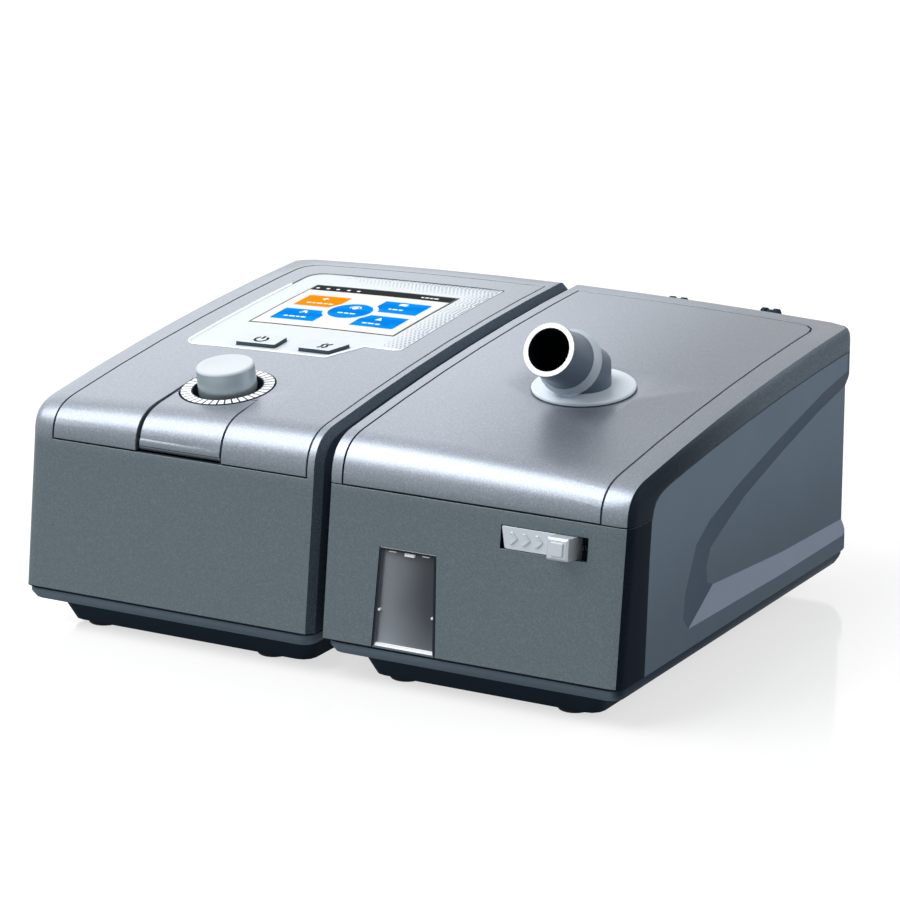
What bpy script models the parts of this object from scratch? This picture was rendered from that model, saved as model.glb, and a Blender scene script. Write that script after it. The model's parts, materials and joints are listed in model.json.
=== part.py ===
"""Bilevel airway pressure machine: a blower unit with a humidifier docked on its right.

Lengths are metres, +Z is up, -Y is the front. The origin lies on the floor under the middle of the
object. Depths are measured backwards from the lower front edge of the two housings.
"""

import math

import bmesh
import bpy
from mathutils import Matrix, Vector

# Fits that every piece shares
CLEARANCE = 0.0003
SEAM_GAP = 0.0005
OVERRUN = 0.004
WALL = 0.0024
SAMPLE = 0.0005

# Outer form of the pair of units
BLOWER_WIDTH = 0.1427
HUMIDIFIER_WIDTH = 0.1347
DOCK_GAP = 0.0054
BODY_DEPTH = 0.2260
FEET_HEIGHT = 0.0020
BAND_BOTTOM = 0.0110
BAND_TOP = 0.0168
SEAM_HEIGHT = 0.0803
FACE_LEAN = 0.0081
NOSE_DEPTH = 0.0250
NOSE_RISE_SHARE = 0.70
NOSE_RUN_SHARE = 0.60
CREST_FRONT_RISE = 0.0193
CREST_REAR_RISE = 0.0391
CREST_BULGE = 0.0029
CROWN_DROP = 0.0037
FRONT_CORNER = 0.0050
REAR_CORNER = 0.0110
TOP_EDGE = 0.0030
REAR_EDGE = 0.0040
DOCK_CHAMFER = 0.0030
NOSE_STEPS = 9
TOP_STEPS = 6
ACROSS_STEPS = 4
CORNER_STEPS = 3
COARSE_STEPS = 2

# Flats of the round pieces, by size
LARGE_STEPS = 40
ROUND_STEPS = 32
MEDIUM_STEPS = 20
TUBE_STEPS = 16
SMALL_STEPS = 12
LUG_STEPS = 8
WIRE_STEPS = 6

# Angles below which neighbouring faces shade as one
SMOOTH_DEGREES = 32
RECESS_DEGREES = 7

# Base trays, plinths and feet
BAND_INSET = 0.0010
BAND_EDGE = 0.0030
TRAY_FLOOR = 0.0050
PLINTH_INSET = 0.0120
PLINTH_TAPER = 0.0040
PLINTH_FRONT = 0.0060
PLINTH_FROM_REAR = 0.0370
PLINTH_CORNER = 0.0060
FOOT_RADIUS = 0.0070
FOOT_STEM = 0.0025
FOOT_STEM_LENGTH = 0.0030
FOOT_FRONT_DEPTH = 0.0180
FOOT_FROM_REAR = 0.0270
FOOT_SIDE = 0.0290

# Inset panels on both tops
COVER_MARGIN = 0.0114
COVER_DOCK_MARGIN = 0.0061
LID_MARGIN = 0.0132
LID_DOCK_MARGIN = 0.0047
PANEL_REAR_MARGIN = 0.0122
PANEL_CORNER = 0.0090

# Selector knob, its dial ring and the encoder below
KNOB_FROM_SIDE_SHARE = 0.518570
KNOB_DEPTH = 0.0472
KNOB_RADIUS = 0.0125
KNOB_RISE = 0.0102
KNOB_SINK = 0.0022
KNOB_EDGE = 0.0007
KNOB_SOCKET = 0.0075
DIAL_RADIUS = 0.0200
WELL_RADIUS = 0.0150
WELL_DEPTH = 0.0034
DIAL_THICKNESS = 0.0012
SHAFT_RADIUS = 0.0030
PLUNGER_RADIUS = 0.0022
PRESS_TRAVEL = 0.0006
ENCODER_SIDE = 0.0130
ENCODER_HEIGHT = 0.0070

# Card door and the reader below
DOOR_FROM_SIDE_SHARE = 0.386125
DOOR_WIDTH = 0.0397
DOOR_GROOVE = 0.0016
DOOR_BACK = 0.0100
DOOR_ROLL = 0.0034
DOOR_PIN = 0.0010
DOOR_PIN_LENGTH = 0.0020
DOOR_EAR = 0.0035
GROOVE_RUN = 0.0160
GROOVE_SINK = 0.0008
READER_WIDTH = 0.0270
READER_DEPTH = 0.0130
READER_HEIGHT = 0.0052
READER_SLOT = 0.0022
READER_SLOT_DEPTH = 0.0100
READER_SLOT_WIDTH = 0.0240
READER_FLOOR = 0.0015
READER_FROM_KNOB = 0.0230

# Display bezel, screen and the two buttons, mostly in shares of the blower's width and depth
BEZEL_FROM_SIDE_SHARE = 0.167484
BEZEL_FRONT_SHARE = 0.400442
BEZEL_REAR_SHARE = 0.884956
BEZEL_WIDTH_SHARE = 0.691661
BEZEL_STEP_START_SHARE = 0.504555
BEZEL_STEP_END_SHARE = 0.569026
BEZEL_STEP = 0.0172
BEZEL_ROUND = 0.0065
BEZEL_SINK = 0.0003
SCREEN_FROM_BEZEL_SHARE = 0.084793
SCREEN_FRONT_SHARE = 0.547788
SCREEN_WIDTH_SHARE = 0.516468
SCREEN_LENGTH_SHARE = 0.259292
SCREEN_THICKNESS = 0.0018
BUTTON_FRONT_SHARE = 0.417257
BUTTON_LENGTH = 0.0105
POWER_FROM_BEZEL_SHARE = 0.168886
POWER_WIDTH_SHARE = 0.138052
MODE_FROM_BEZEL_SHARE = 0.390329
MODE_WIDTH_SHARE = 0.107218
MODE_SLANT = 0.0046
BUTTON_RISE = 0.0012
BUTTON_RIM = 0.0011
BUTTON_RIM_THICKNESS = 0.0010
BUTTON_TRAVEL = 0.0010
SWITCH_SIDE = 0.0060
SWITCH_HEIGHT = 0.0035

# Control board and display module, square to the knob's axis
BOARD_DROP = 0.0160
BOARD_THICKNESS = 0.0016
BOARD_SIDE = 0.0390
BOARD_FRONT = 0.0330
BOARD_BACK_SHARE = 0.641593
DISPLAY_THICKNESS = 0.0055
DISPLAY_BORDER = 0.0040
BOSS_RADIUS = 0.0030
BOSS_INSET = 0.0060

# Blower: mat, motor, scroll casing and impeller
SCROLL_FROM_SIDE_SHARE = 0.374212
SCROLL_DEPTH_SHARE = 0.619469
SCROLL_START = 0.0330
SCROLL_END = 0.0440
SCROLL_OUTLET = 0.0480
SCROLL_STEPS = 36
SCROLL_HEIGHT = 0.0200
CASING_WALL = 0.0022
MAT_THICKNESS = 0.0030
MOTOR_RADIUS = 0.0200
MOTOR_HEIGHT = 0.0200
MOTOR_SHAFT = 0.0020
EYE_RADIUS = 0.0150
IMPELLER_RADIUS = 0.0290
IMPELLER_HUB = 0.0075
IMPELLER_DISC = 0.0018
IMPELLER_HEIGHT = 0.0145
IMPELLER_GAP = 0.0015
BLADE_COUNT = 11
BLADE_THICKNESS = 0.0012
BLADE_SWEEP_DEGREES = 52
BLADE_STEPS = 6
DUCT_RADIUS = 0.0078
DUCT_WALL = 0.0014
DUCT_EMBED = 0.0060
PORT_DEPTH_SHARE = 0.486726
PORT_RISE = 0.0079
DUCT_REACH_SHARE = 0.58
DUCT_STEPS = 12

# Rear of the blower unit
FILTER_FROM_SIDE = 0.0160
FILTER_WIDTH = 0.0460
FILTER_BOTTOM = 0.0340
FILTER_HEIGHT = 0.0420
FILTER_THICKNESS = 0.0080
FILTER_COVER_THICKNESS = 0.0020
LOUVRE_COUNT = 7
LOUVRE_SHARE = 0.50
LOUVRE_BORDER = 0.0050
SOCKET_FROM_SIDE = 0.0950
SOCKET_HEIGHT = 0.0320
SOCKET_WIDTH = 0.0240
SOCKET_TALL = 0.0150
SOCKET_BODY = 0.0180
SOCKET_RECESS_WIDTH = 0.0180
SOCKET_RECESS_TALL = 0.0090
SOCKET_RECESS_DEPTH = 0.0130
SOCKET_ROUND = 0.0035
SOCKET_PIN = 0.0012
SOCKET_PIN_SPREAD = 0.0052

# Humidifier side panel with its long recess
PANEL_THICKNESS = 0.0070
PANEL_FRONT_TOP = 0.0258
PANEL_FRONT_MIDDLE = 0.0240
PANEL_FRONT_BOTTOM = 0.0206
RECESS_DEPTH = 0.0045
RECESS_START = 0.0551
RECESS_BOTTOM = 0.0236
RECESS_TOP_RISE = 0.0203
RECESS_OUTER_SHARES = ((1.06, 1.00), (0.79, 0.912), (0.52, 0.782), (0.288, 0.657), (0.137, 0.552),
                       (0.064, 0.459), (0.008, 0.226), (0.0, 0.096), (0.029, 0.022), (0.55, 0.0), (1.06, 0.0))
RECESS_INNER_SHARES = ((1.06, 0.875), (0.816, 0.774), (0.602, 0.662), (0.386, 0.532), (0.262, 0.417),
                       (0.198, 0.353), (0.178, 0.258), (0.184, 0.174), (0.216, 0.143), (0.612, 0.084),
                       (1.06, 0.055))
BAND_HEIGHT_FRONT = 0.0078
BAND_HEIGHT_REAR = 0.0098
BAND_BEND = 0.0210
BAND_BEND_STEPS = 6
BAND_START_SHARE = 0.071

# Well, heater plate and water tub
WELL_MARGIN = 0.0030
WELL_FRONT = 0.0185
WELL_FROM_REAR = 0.0180
WELL_BOTTOM = 0.0200
WELL_TOP_DROP = 0.0039
WELL_WALL = 0.0020
WELL_CORNER = 0.0100
HEATER_RADIUS = 0.0420
HEATER_THICKNESS = 0.0040
TUB_GAP = 0.0015
TUB_WALL = 0.0018
TUB_TOP_DROP = 0.0031
TUB_COVER = 0.0022
COLLAR_RADIUS = 0.0175
COLLAR_WALL = 0.0024
COLLAR_TOP_RISE = 0.0117

# Water window in the front face
WINDOW_FROM_DOCK = 0.0230
WINDOW_BASE = 0.0288
WINDOW_SHIFT_LEFT = 0.0012
WINDOW_SHIFT_RIGHT = 0.0021
WINDOW_LOW = 0.0171
WINDOW_HIGH = 0.0578
WINDOW_FRAME = 0.0009
WINDOW_DEPTH = 0.0070
WINDOW_SKIN = 0.0018

# Sliding lid latch
LATCH_FROM_DOCK = 0.0780
LATCH_SLOT = 0.0384
LATCH_TALL = 0.0095
LATCH_DROP = 0.0058
LATCH_TRAVEL = 0.0045
LATCH_FLANGE = 0.0025
LATCH_THICKNESS = 0.0030
LATCH_SLANT = 0.0018
LATCH_TAB = 0.0092
LATCH_TAB_REACH = 0.0080
LATCH_TAB_EDGE = 0.0008
LATCH_TAB_PAD = 0.0052
LATCH_PAD_RISE = 0.0006
CHEVRON_COUNT = 3
CHEVRON_PITCH = 0.0056
CHEVRON_SPAN = 0.0046
CHEVRON_WIDTH = 0.0012
CHEVRON_RISE = 0.0005
CHEVRON_START = 0.0062
CARRIER_THICKNESS = 0.0020
SPRING_WIRE = 0.0004
SPRING_LENGTH = 0.0045
SPRING_TURNS = 6
SPRING_POINTS = 8

# Lid, its hinge and its seal
LID_DECK = 0.0020
HINGE_BEHIND = 0.0046
HINGE_DROP = 0.0065
HINGE_LUG = 0.0042
HINGE_KNUCKLE = 0.0036
HINGE_LUG_WIDTH = 0.0020
HINGE_KNUCKLE_WIDTH = 0.0029
HINGE_PIN = 0.0015
HINGE_FIRST = 0.0458
HINGE_SECOND = 0.0908
HINGE_ROOT = 0.0140

# Outlet elbow
ELBOW_FROM_DOCK = 0.0672
ELBOW_DEPTH = 0.0981
ELBOW_BEND_RISE = 0.0070
ELBOW_LENGTH = 0.0353
ELBOW_BEND_DEGREES = 57.3
STEM_RADIUS = 0.0115
MOUTH_RADIUS = 0.0112
BORE_RADIUS = 0.0091
COLLAR_RING = 0.0140
RING_FROM_MOUTH = 0.0208
RING_FLARE_SHARE = 0.86
RING_NECK_SHARE = 0.62
RING_WIDTH = 0.0012
DISC_RADIUS = 0.0217
DISC_RISE = 0.0008
DISC_THICKNESS = 0.0014
DISH_RADIUS = 0.0264
DISH_DEPTH = 0.0010
STEM_BELOW = 0.0098
GROOVE_DEPTH = 0.0016
GROOVE_WIDTH = 0.0024

# Air inlet elbow of the humidifier
INLET_RUN = 0.0228
INLET_BEND = 0.0084
INLET_DROP = 0.0130
INLET_STEPS = 5

# Docking tongues between the two bases
TONGUE_LENGTH = 0.0160
TONGUE_HEIGHT = 0.0024
TONGUE_RISE = 0.0128
TONGUE_REACH = 0.0090
TONGUE_DEPTHS_SHARE = (0.25, 0.75)

# Places that follow from the sizes
PAIR_WIDTH = BLOWER_WIDTH + DOCK_GAP + HUMIDIFIER_WIDTH
BLOWER_X = -PAIR_WIDTH / 2
BLOWER_END = BLOWER_X + BLOWER_WIDTH
HUMIDIFIER_X = BLOWER_END + DOCK_GAP
HUMIDIFIER_END = PAIR_WIDTH / 2
GAP_MIDDLE = (BLOWER_END + HUMIDIFIER_X) / 2
CREST_FRONT = SEAM_HEIGHT + CREST_FRONT_RISE
CREST_REAR = SEAM_HEIGHT + CREST_REAR_RISE
PORT_HEIGHT = SEAM_HEIGHT + PORT_RISE
RECESS_TOP = SEAM_HEIGHT + RECESS_TOP_RISE
WELL_TOP = SEAM_HEIGHT - WELL_TOP_DROP
TUB_TOP = SEAM_HEIGHT - TUB_TOP_DROP
COLLAR_TOP = SEAM_HEIGHT + COLLAR_TOP_RISE
LATCH_HIGH = SEAM_HEIGHT - LATCH_DROP
LATCH_LOW = LATCH_HIGH - LATCH_TALL
FACE_TILT = math.atan2(FACE_LEAN, SEAM_HEIGHT - BAND_TOP)
LATCH_MIDDLE = (LATCH_LOW + LATCH_HIGH) / 2
LATCH_LEAN = FACE_LEAN * (LATCH_MIDDLE - BAND_TOP) / (SEAM_HEIGHT - BAND_TOP)
TAB_PROUD = (LATCH_TAB_REACH + LATCH_PAD_RISE) * math.cos(FACE_TILT) + LATCH_TAB_PAD / 2 * math.sin(FACE_TILT)
TAB_LEAD = TAB_PROUD - LATCH_LEAN
FRONT_Y = (TAB_LEAD - BODY_DEPTH - HINGE_BEHIND - HINGE_LUG) / 2
REAR_Y = FRONT_Y + BODY_DEPTH

# Sizes of the blower's top and inside, from the shares above
KNOB_FROM_SIDE = BLOWER_WIDTH * KNOB_FROM_SIDE_SHARE
DOOR_FROM_SIDE = BLOWER_WIDTH * DOOR_FROM_SIDE_SHARE
BEZEL_FROM_SIDE = BLOWER_WIDTH * BEZEL_FROM_SIDE_SHARE
BEZEL_WIDTH = BLOWER_WIDTH * BEZEL_WIDTH_SHARE
BEZEL_STEP_START = BLOWER_WIDTH * BEZEL_STEP_START_SHARE
BEZEL_STEP_END = BLOWER_WIDTH * BEZEL_STEP_END_SHARE
SCREEN_FROM_BEZEL = BLOWER_WIDTH * SCREEN_FROM_BEZEL_SHARE
SCREEN_WIDTH = BLOWER_WIDTH * SCREEN_WIDTH_SHARE
POWER_FROM_BEZEL = BLOWER_WIDTH * POWER_FROM_BEZEL_SHARE
POWER_WIDTH = BLOWER_WIDTH * POWER_WIDTH_SHARE
MODE_FROM_BEZEL = BLOWER_WIDTH * MODE_FROM_BEZEL_SHARE
MODE_WIDTH = BLOWER_WIDTH * MODE_WIDTH_SHARE
SCROLL_FROM_SIDE = BLOWER_WIDTH * SCROLL_FROM_SIDE_SHARE
BEZEL_FRONT = BODY_DEPTH * BEZEL_FRONT_SHARE
BEZEL_REAR = BODY_DEPTH * BEZEL_REAR_SHARE
SCREEN_FRONT = BODY_DEPTH * SCREEN_FRONT_SHARE
SCREEN_LENGTH = BODY_DEPTH * SCREEN_LENGTH_SHARE
BUTTON_FRONT = BODY_DEPTH * BUTTON_FRONT_SHARE
BOARD_BACK = BODY_DEPTH * BOARD_BACK_SHARE
SCROLL_DEPTH = BODY_DEPTH * SCROLL_DEPTH_SHARE
PORT_DEPTH = BODY_DEPTH * PORT_DEPTH_SHARE

PALETTE = {
    "silver_paint": ((0.40, 0.43, 0.49), 0.75, 0.38),
    "graphite_paint": ((0.15, 0.19, 0.22), 0.55, 0.45),
    "slate_plastic": ((0.12, 0.16, 0.21), 0.0, 0.55),
    "dark_plastic": ((0.03, 0.04, 0.055), 0.0, 0.60),
    "white_plastic": ((0.80, 0.84, 0.88), 0.0, 0.35),
    "grey_plastic": ((0.56, 0.60, 0.64), 0.0, 0.35),
    "satin_metal": ((0.62, 0.66, 0.70), 0.85, 0.32),
    "steel": ((0.55, 0.56, 0.58), 1.0, 0.30),
    "rubber": ((0.02, 0.02, 0.022), 0.0, 0.80),
    "silicone": ((0.70, 0.74, 0.78), 0.0, 0.60),
    "clear_plastic": ((0.85, 0.90, 0.93), 0.0, 0.08),
    "glass": ((0.05, 0.07, 0.09), 0.0, 0.05),
    "circuit_board": ((0.02, 0.20, 0.09), 0.0, 0.50),
    "foam": ((0.20, 0.22, 0.24), 0.0, 0.95),
}


class Unit:
    """One of the two housings: its sides, which of them is the outer one, and its docking chamfer."""

    def __init__(self, left, right, outer, chamfer):
        self.left = left
        self.right = right
        self.outer = outer
        self.chamfer = chamfer


BLOWER = Unit(BLOWER_X, BLOWER_END, "left", DOCK_CHAMFER)
HUMIDIFIER = Unit(HUMIDIFIER_X, HUMIDIFIER_END, "right", 0)


# Mesh makers

def clear_scene():
    for item in list(bpy.data.objects):
        bpy.data.objects.remove(item)


def made(name, points, faces):
    """An object from points and faces, with every face turned outwards."""
    mesh = bpy.data.meshes.new(name)
    mesh.from_pydata([tuple(point) for point in points], [], faces)
    turned = bmesh.new()
    turned.from_mesh(mesh)
    bmesh.ops.recalc_face_normals(turned, faces=turned.faces)
    turned.to_mesh(mesh)
    turned.free()
    item = bpy.data.objects.new(name, mesh)
    bpy.context.collection.objects.link(item)
    return item


def loft(name, rings, ring_shaped=False):
    """A closed skin over rings of equally many points, capped at both ends or joined end to end."""
    count = len(rings[0])
    points = [point for ring in rings for point in ring]
    faces = []
    spans = len(rings) if ring_shaped else len(rings) - 1
    for step in range(spans):
        here = step * count
        there = ((step + 1) % len(rings)) * count
        for index in range(count):
            after = (index + 1) % count
            faces.append((here + index, here + after, there + after, there + index))
    if not ring_shaped:
        faces.append(tuple(range(count)))
        faces.append(tuple(range((len(rings) - 1) * count, len(rings) * count)))
    return made(name, points, faces)


def prism(name, outline, low, high, axis="Z"):
    """An outline pushed along an axis: (x, y) along Z, (y, z) along X or (x, z) along Y."""
    place = {
        "Z": lambda a, b, c: (a, b, c),
        "X": lambda a, b, c: (c, a, b),
        "Y": lambda a, b, c: (a, c, b),
    }[axis]
    return loft(name, [[place(a, b, level) for a, b in outline] for level in (low, high)])


def box(name, low, high):
    outline = [(low[0], low[1]), (high[0], low[1]), (high[0], high[1]), (low[0], high[1])]
    return prism(name, outline, low[2], high[2])


def turned(name, profile, frame, steps=ROUND_STEPS, open_core=False):
    """A profile of (radius, height) pairs turned about the frame's Z axis. An open core has a hole."""
    rings = []
    for radius, height in profile:
        ring = []
        for index in range(steps):
            angle = 2 * math.pi * index / steps
            ring.append(frame @ Vector((radius * math.cos(angle), radius * math.sin(angle), height)))
        rings.append(ring)
    return loft(name, rings, ring_shaped=open_core)


def tube(name, centres, outer, inner, sides=TUBE_STEPS):
    """A hollow round tube along a list of centres."""
    outside = swept_rings(centres, outer, sides)
    inside = swept_rings(centres, inner, sides)
    return loft(name, outside + inside[::-1], ring_shaped=True)


def swept_rings(centres, radius, sides):
    rings = []
    normal = None
    for index, centre in enumerate(centres):
        before = centres[max(index - 1, 0)]
        after = centres[min(index + 1, len(centres) - 1)]
        along = (after - before).normalized()
        if normal is None:
            normal = along.orthogonal().normalized()
        normal = (normal - along * normal.dot(along)).normalized()
        across = along.cross(normal)
        turns = [2 * math.pi * side / sides for side in range(sides)]
        rings.append([centre + radius * (math.cos(t) * normal + math.sin(t) * across) for t in turns])
    return rings


def rounded(corners, steps=CORNER_STEPS):
    """An outline whose corners (a, b, radius) are replaced by arcs."""
    outline = []
    count = len(corners)
    for index, (a, b, radius) in enumerate(corners):
        corner = Vector((a, b))
        if radius == 0:
            outline.append((a, b))
            continue
        back = (Vector(corners[index - 1][:2]) - corner).normalized()
        ahead = (Vector(corners[(index + 1) % count][:2]) - corner).normalized()
        half = back.angle(ahead) / 2
        reach = radius / math.tan(half)
        centre = corner + (back + ahead).normalized() * (radius / math.sin(half))
        first = corner + back * reach - centre
        last = corner + ahead * reach - centre
        for step in range(steps + 1):
            spoke = first.slerp(last, step / steps)
            outline.append(tuple(centre + radius * spoke))
    return outline


def grown(corners, by):
    """Corners (a, b, radius) of a counterclockwise outline, every edge moved outwards by a distance."""
    moved = []
    count = len(corners)
    for index, (a, b, radius) in enumerate(corners):
        here = Vector((a, b))
        back = (here - Vector(corners[index - 1][:2])).normalized()
        ahead = (Vector(corners[(index + 1) % count][:2]) - here).normalized()
        out_back = Vector((back.y, -back.x))
        out_ahead = Vector((ahead.y, -ahead.x))
        mitre = (out_back + out_ahead) / (1 + out_back.dot(out_ahead))
        turn = back.x * ahead.y - back.y * ahead.x
        bend = radius + by if turn > 0 else radius - by
        moved.append((a + mitre.x * by, b + mitre.y * by, max(bend, 0) if radius else 0))
    return moved


def bake(item):
    """Replace an object's mesh by what its modifiers make of it."""
    graph = bpy.context.evaluated_depsgraph_get()
    mesh = bpy.data.meshes.new_from_object(item.evaluated_get(graph))
    item.modifiers.clear()
    item.data = mesh


def combine(item, other, operation):
    """A Boolean with another object, which is used up."""
    step = item.modifiers.new(operation, "BOOLEAN")
    step.operation = operation
    step.solver = "EXACT"
    step.object = other
    bake(item)
    bpy.data.objects.remove(other)
    return item


def cut(item, *others):
    for other in others:
        combine(item, other, "DIFFERENCE")
    return item


def join(item, *others):
    for other in others:
        combine(item, other, "UNION")
    return item


def common(item, other):
    return combine(item, other, "INTERSECT")


def finished(item, finish, smooth_degrees=SMOOTH_DEGREES):
    """Give a piece its name's material and its shading."""
    colour, metallic, roughness = PALETTE[finish]
    material = bpy.data.materials.new(item.name + "_" + finish)
    material.use_nodes = True
    shader = material.node_tree.nodes["Principled BSDF"]
    shader.inputs["Base Color"].default_value = (*colour, 1)
    shader.inputs["Metallic"].default_value = metallic
    shader.inputs["Roughness"].default_value = roughness
    item.data.materials.clear()
    item.data.materials.append(material)
    item.data.shade_smooth()
    item.data.set_sharp_from_angle(angle=math.radians(smooth_degrees))
    return item


def pivoted(item, point):
    """Put a moving piece's origin on its joint's axis."""
    item.data.transform(Matrix.Translation(-Vector(point)))
    item.location = point
    return item


# Outer form

def crest(depth):
    """Height of the tops along the middle of the pair, at a depth behind the front."""
    share = (depth - NOSE_DEPTH) / (BODY_DEPTH - NOSE_DEPTH)
    return CREST_FRONT + (CREST_REAR - CREST_FRONT) * share + 4 * CREST_BULGE * share * (1 - share)


def crown(x):
    """How far the tops have fallen away at a distance from the middle of the pair."""
    return CROWN_DROP * ((x - GAP_MIDDLE) / (PAIR_WIDTH / 2)) ** 2


def top_at(x, y):
    return crest(y - FRONT_Y) - crown(x)


def lean(height):
    """How far the front face has leaned back at a height."""
    return FACE_LEAN * (height - BAND_TOP) / (SEAM_HEIGHT - BAND_TOP)


def surface_frame(x, y):
    """A frame on the top: its origin on the surface, its Z along the surface's normal."""
    slope_x = (top_at(x + SAMPLE, y) - top_at(x - SAMPLE, y)) / (2 * SAMPLE)
    slope_y = (top_at(x, y + SAMPLE) - top_at(x, y - SAMPLE)) / (2 * SAMPLE)
    normal = Vector((-slope_x, -slope_y, 1)).normalized()
    side = Vector((1, 0, slope_x)).normalized()
    turn = Matrix((side, normal.cross(side), normal)).transposed().to_4x4()
    return Matrix.Translation((x, y, top_at(x, y))) @ turn


def eased(radius, distance):
    """How far a rounded edge has drawn back at a distance from the side."""
    if distance >= radius:
        return 0
    return radius - math.sqrt(radius ** 2 - (radius - distance) ** 2)


def side_profile(unit, x, side, dock, top, rear, floor):
    """The (y, z) outline of a unit at one x, drawn inwards by a wall on each of its sides."""
    if unit.outer == "left":
        from_side, from_dock = x - unit.left - side, unit.right - dock - x
    else:
        from_side, from_dock = unit.right - side - x, x - unit.left - dock
    bevel = max(unit.chamfer - max(from_dock, 0), 0)
    front_back = eased(max(FRONT_CORNER - top, 0), max(from_side, 0)) + bevel + top
    top_down = eased(max(TOP_EDGE - top, 0), max(from_side, 0)) + bevel + top
    rear_in = eased(max(REAR_CORNER - rear, 0), max(from_side, 0)) + rear
    drop = crown(x) + top_down
    rear_end = BODY_DEPTH - rear_in
    edge = max(REAR_EDGE - rear, SAMPLE)
    start = Vector((front_back + lean(SEAM_HEIGHT), SEAM_HEIGHT))
    end = Vector((NOSE_DEPTH, crest(NOSE_DEPTH) - drop))
    slope = (crest(NOSE_DEPTH + SAMPLE) - crest(NOSE_DEPTH)) / SAMPLE
    rise = start + Vector((0, NOSE_RISE_SHARE * (end.y - start.y)))
    run = end - NOSE_RUN_SHARE * (end.x - start.x) * Vector((1, slope))
    outline = [(front_back + lean(floor), floor)]
    for step in range(NOSE_STEPS + 1):
        outline.append(tuple(bezier(start, rise, run, end, step / NOSE_STEPS)))
    top_end = rear_end - edge
    for step in range(1, TOP_STEPS + 1):
        depth = NOSE_DEPTH + (top_end - NOSE_DEPTH) * step / TOP_STEPS
        outline.append((depth, crest(depth) - drop))
    low_edge = crest(top_end) - drop - edge
    for step in range(1, CORNER_STEPS + 1):
        angle = math.pi / 2 * (1 - step / CORNER_STEPS)
        outline.append((top_end + edge * math.cos(angle), low_edge + edge * math.sin(angle)))
    outline.append((rear_end, floor))
    return [(FRONT_Y + depth, height) for depth, height in outline]


def bezier(start, first, second, end, share):
    rest = 1 - share
    weights = (rest ** 3, 3 * rest ** 2 * share, 3 * rest * share ** 2, share ** 3)
    return sum((w * p for w, p in zip(weights[1:], (first, second, end))), weights[0] * start)


def envelope(name, unit, side=0, dock=0, top=0, rear=0, floor=BAND_TOP, steps=CORNER_STEPS):
    """The whole form of a unit above a floor, drawn inwards by walls: side, dock, top (and front), rear."""
    width = unit.right - unit.left - side - dock
    bends = [radius for radius in (FRONT_CORNER - top, TOP_EDGE - top, REAR_CORNER - rear) if radius > 0]
    distances = {0, width}
    for radius in bends:
        for step in range(1, steps + 1):
            distances.add(radius * (1 - math.cos(math.pi / 2 * step / steps)))
    widest = max(bends) if bends else 0
    inner = width - unit.chamfer
    for step in range(ACROSS_STEPS + 1):
        distances.add(widest + (inner - widest) * step / ACROSS_STEPS)
    stations = []
    for distance in sorted(distances):
        if not stations or distance - stations[-1] > SAMPLE:
            stations.append(distance)
    stations[-1] = width
    rings = []
    for distance in stations:
        x = unit.left + side + distance if unit.outer == "left" else unit.right - side - distance
        outline = side_profile(unit, x, side, dock, top, rear, floor)
        rings.append([(x, y, z) for y, z in outline])
    return loft(name, rings)


def skin(name, unit, outside, inside, outline, low):
    """A piece of a unit's top skin between two depths, inside an outline seen from above."""
    piece = envelope(name, unit, outside, outside, outside, outside)
    ceiling = crest(BODY_DEPTH) + OVERRUN
    common(piece, prism("outline", outline, low, ceiling))
    return cut(piece, envelope("under", unit, inside, inside, inside, inside, floor=low - OVERRUN))


def panel_outline(unit, margin, dock_margin, shrink):
    """The inset panel's outline from above: its outer rear corner is round, its dock corners are sharp."""
    ahead = FRONT_Y - OVERRUN
    back = REAR_Y - PANEL_REAR_MARGIN - shrink
    if unit.outer == "left":
        left, right = unit.left + margin + shrink, unit.right - dock_margin - shrink
        corners = [(left, ahead, 0), (right, ahead, 0), (right, back, 0), (left, back, PANEL_CORNER)]
    else:
        left, right = unit.left + dock_margin + shrink, unit.right - margin - shrink
        corners = [(left, ahead, 0), (right, ahead, 0), (right, back, PANEL_CORNER), (left, back, 0)]
    return rounded(corners)


def face_frame(x, height):
    """A frame on the leaning front face: its X to the right, its Y up the face, its Z out of it."""
    turn = Matrix.Rotation(math.pi / 2 - FACE_TILT, 4, "X")
    return Matrix.Translation((x, FRONT_Y + lean(height), height)) @ turn


def in_frame(item, frame):
    item.data.transform(frame)
    return item


# Bases

def plan(low_x, high_x, low_y, high_y, front, rear, z):
    """A ring at one height: a rectangle with round front and rear corners."""
    corners = [(low_x, low_y, front), (high_x, low_y, front), (high_x, high_y, rear), (low_x, high_y, rear)]
    return [(x, y, z) for x, y in rounded(corners)]


def foot_places(unit):
    left, right = unit.left + FOOT_SIDE, unit.right - FOOT_SIDE
    front, rear = FRONT_Y + FOOT_FRONT_DEPTH, REAR_Y - FOOT_FROM_REAR
    return [(left, front, FEET_HEIGHT), (right, front, FEET_HEIGHT),
            (left, rear, BAND_BOTTOM), (right, rear, BAND_BOTTOM)]


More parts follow.
